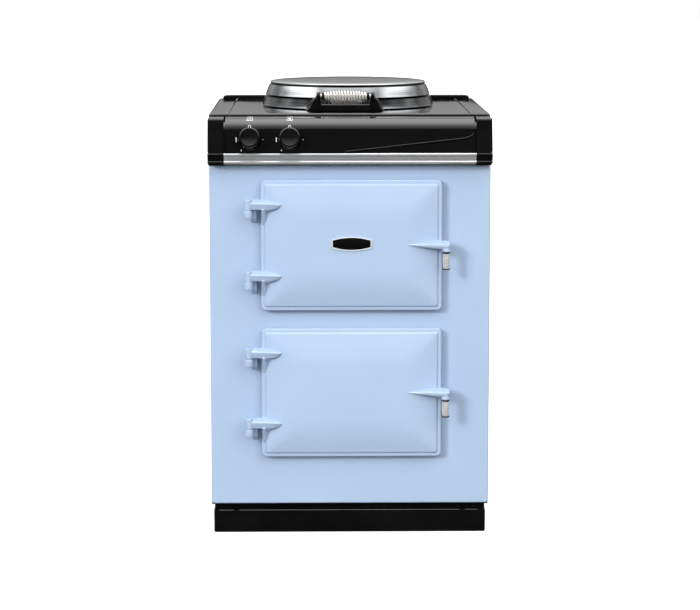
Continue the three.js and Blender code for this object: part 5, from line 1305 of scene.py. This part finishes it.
# Painted shade up the lid, as shares of its height: its colour falls nearly to black on the foot and in the
# two creases.
PAINTED_SHADE_BANDS = (
    (0, 0.02), (0.03, 0.02), (0.036, 1), (0.384, 1), (0.388, 0.02), (0.464, 0.02), (0.468, 1),
    (0.847, 1), (0.851, 0.15), (0.914, 0.15), (0.918, 1),
)
lid_lo, lid_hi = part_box("lid_shell")
lid_middle = (lid_lo + lid_hi) / 2


def spun_steel():
    """Stainless steel spun on a lathe and buffed: a mirror crossed by faint rings, with painted shade in its
    creases.

    Painted shade also darkens its foot, and a painted dark reflection darkens it where it is seen edge-on,
    but not on the level top.
    """
    material, tree, shader, place = surface("spun polished steel", {"Metallic": 1, "Roughness": 0.12})
    wobble = {"Distortion": 1.5, "Detail": 3, "Detail Scale": 2}
    rings = lathe_rings(tree, place, lid_middle, SPUN_PITCH, **wobble)
    height = node(tree, "SeparateXYZ", links={"Vector": place}).outputs["Z"]
    span = {"From Min": lid_lo.z, "From Max": lid_lo.z + LID_HEIGHT}
    share = node(tree, "MapRange", span, {"Value": height})
    facing = node(tree, "LayerWeight", {"Blend": 0.5}).outputs["Facing"]
    # The colour is multiplied by painted shade on the foot and in the creases, and by a painted dark
    # reflection at edges seen edge-on.
    tint, sheen, painted_shade_bands, rim, level = (
        node(tree, "ValToRGB", links={"Fac": source}, stops=stops) for source, stops in (
            (rings, ((0, srgb(0xCDD0D3)), (1, srgb(0xDFE1E3)))), (rings, ((0, 0.05), (1, 0.09))),
            (share, PAINTED_SHADE_BANDS), (facing, ((0.66, 1), (0.84, 0.12))), (share, ((0.93, 0), (0.95, 1))),
        )
    )
    # Painted dark reflection: the colour darkens where the steel is seen edge-on, except on the level top.
    rim = node(tree, "VectorMath", {"operation": "MAXIMUM"}, {0: rim, 1: level})
    for factor in (painted_shade_bands, rim):
        tint = node(tree, "VectorMath", {"operation": "MULTIPLY"}, {0: tint, 1: factor})
    linked(tree, shader, {"Base Color": tint, "Roughness": sheen})
    return material


lid_steel = spun_steel()
profile = in_metres(LID_OUTER + LID_INNER + LID_OUTER[:1])
shell = turned(profile, (lid_middle.x, lid_middle.y, lid_lo.z), LID_SEGMENTS)
deliver(shell, "lid_spinning", lid_steel, 30)
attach(shell, "lid")
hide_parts("lid_shell")

lo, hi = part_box("lid_liner")
reach, thick = hi.x - lid_middle.x, hi.z - lo.z
profile = in_metres(PAN_RIB) + [(reach - PAN_ROUND, 0), (reach, PAN_ROUND), (reach, thick), (0, thick)]
liner = turned(profile, (lid_middle.x, lid_middle.y, lo.z), 128)
deliver(liner, "lid_pan", steel, 30)
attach(liner, "lid")
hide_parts("lid_liner")
dressed("lid_insulation", wool)


# ---- lid handle
# A black-painted casting spreads from the front of the lid and ends in two eyes. They hold a nickel rod,
# wound between two black collars with one length of nickel wire that stays cool to the hand.
COIL_TURNS = 15
COIL_WIRE = 1.9 * MM
COIL_STEPS = 28
COIL_END_CLEAR = 0.3 * MM
COLLAR_RADIUS = 8 * MM
COLLAR_WIDTH = 5 * MM

handle = cast_round(merged("lid_handle_casting"), 4)
deliver(handle, "handle_arms", black_paint, 60)
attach(handle, "lid")
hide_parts("lid_handle_casting")

rod = deliver(level_rod("lid_handle_rod", 32), "handle_rod", nickel)
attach(rod, "lid")
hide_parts("lid_handle_rod")

lo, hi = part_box("lid_handle_rod")
middle, radius = (lo + hi) / 2, (hi.z - lo.z) / 2
coil_lo, coil_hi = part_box("lid_handle_coil")
for end, start in (("left", coil_lo.x), ("right", coil_hi.x - COLLAR_WIDTH)):
    collar = turned([
        (radius, 0), (COLLAR_RADIUS - MM, 0), (COLLAR_RADIUS, MM), (COLLAR_RADIUS, COLLAR_WIDTH - MM),
        (COLLAR_RADIUS - MM, COLLAR_WIDTH), (radius, COLLAR_WIDTH), (radius, 0),
    ], (start, middle.y, middle.z), 40, (1, 0, 0), (0, 0, 1))
    deliver(collar, "handle_collar_" + end, black_paint)
    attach(collar, "lid")

coil_length = coil_hi.x - coil_lo.x - 2 * COLLAR_WIDTH
coil_radius = (coil_hi.z - coil_lo.z) / 2 - COIL_WIRE
end_radius = radius + COIL_WIRE + COIL_END_CLEAR
helix = []
for share in [i / (COIL_TURNS * COIL_STEPS) for i in range(COIL_TURNS * COIL_STEPS + 1)]:
    around = 2 * pi * COIL_TURNS * share
    reach = end_radius + (coil_radius - end_radius) * sin(pi * share)
    x = middle.x + (share - 0.5) * coil_length
    helix.append((x, middle.y + reach * cos(around), middle.z + reach * sin(around)))
coil = deliver(wire(helix, COIL_WIRE, 12), "handle_coil", nickel, 60)
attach(coil, "lid")
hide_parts("lid_handle_coil")


# ---- supply terminals
# A black moulded box behind an inlet in the back panel holds the supply terminals, with a cable gland.
dressed("terminal_box", phenolic)
dressed("cable_gland", phenolic)
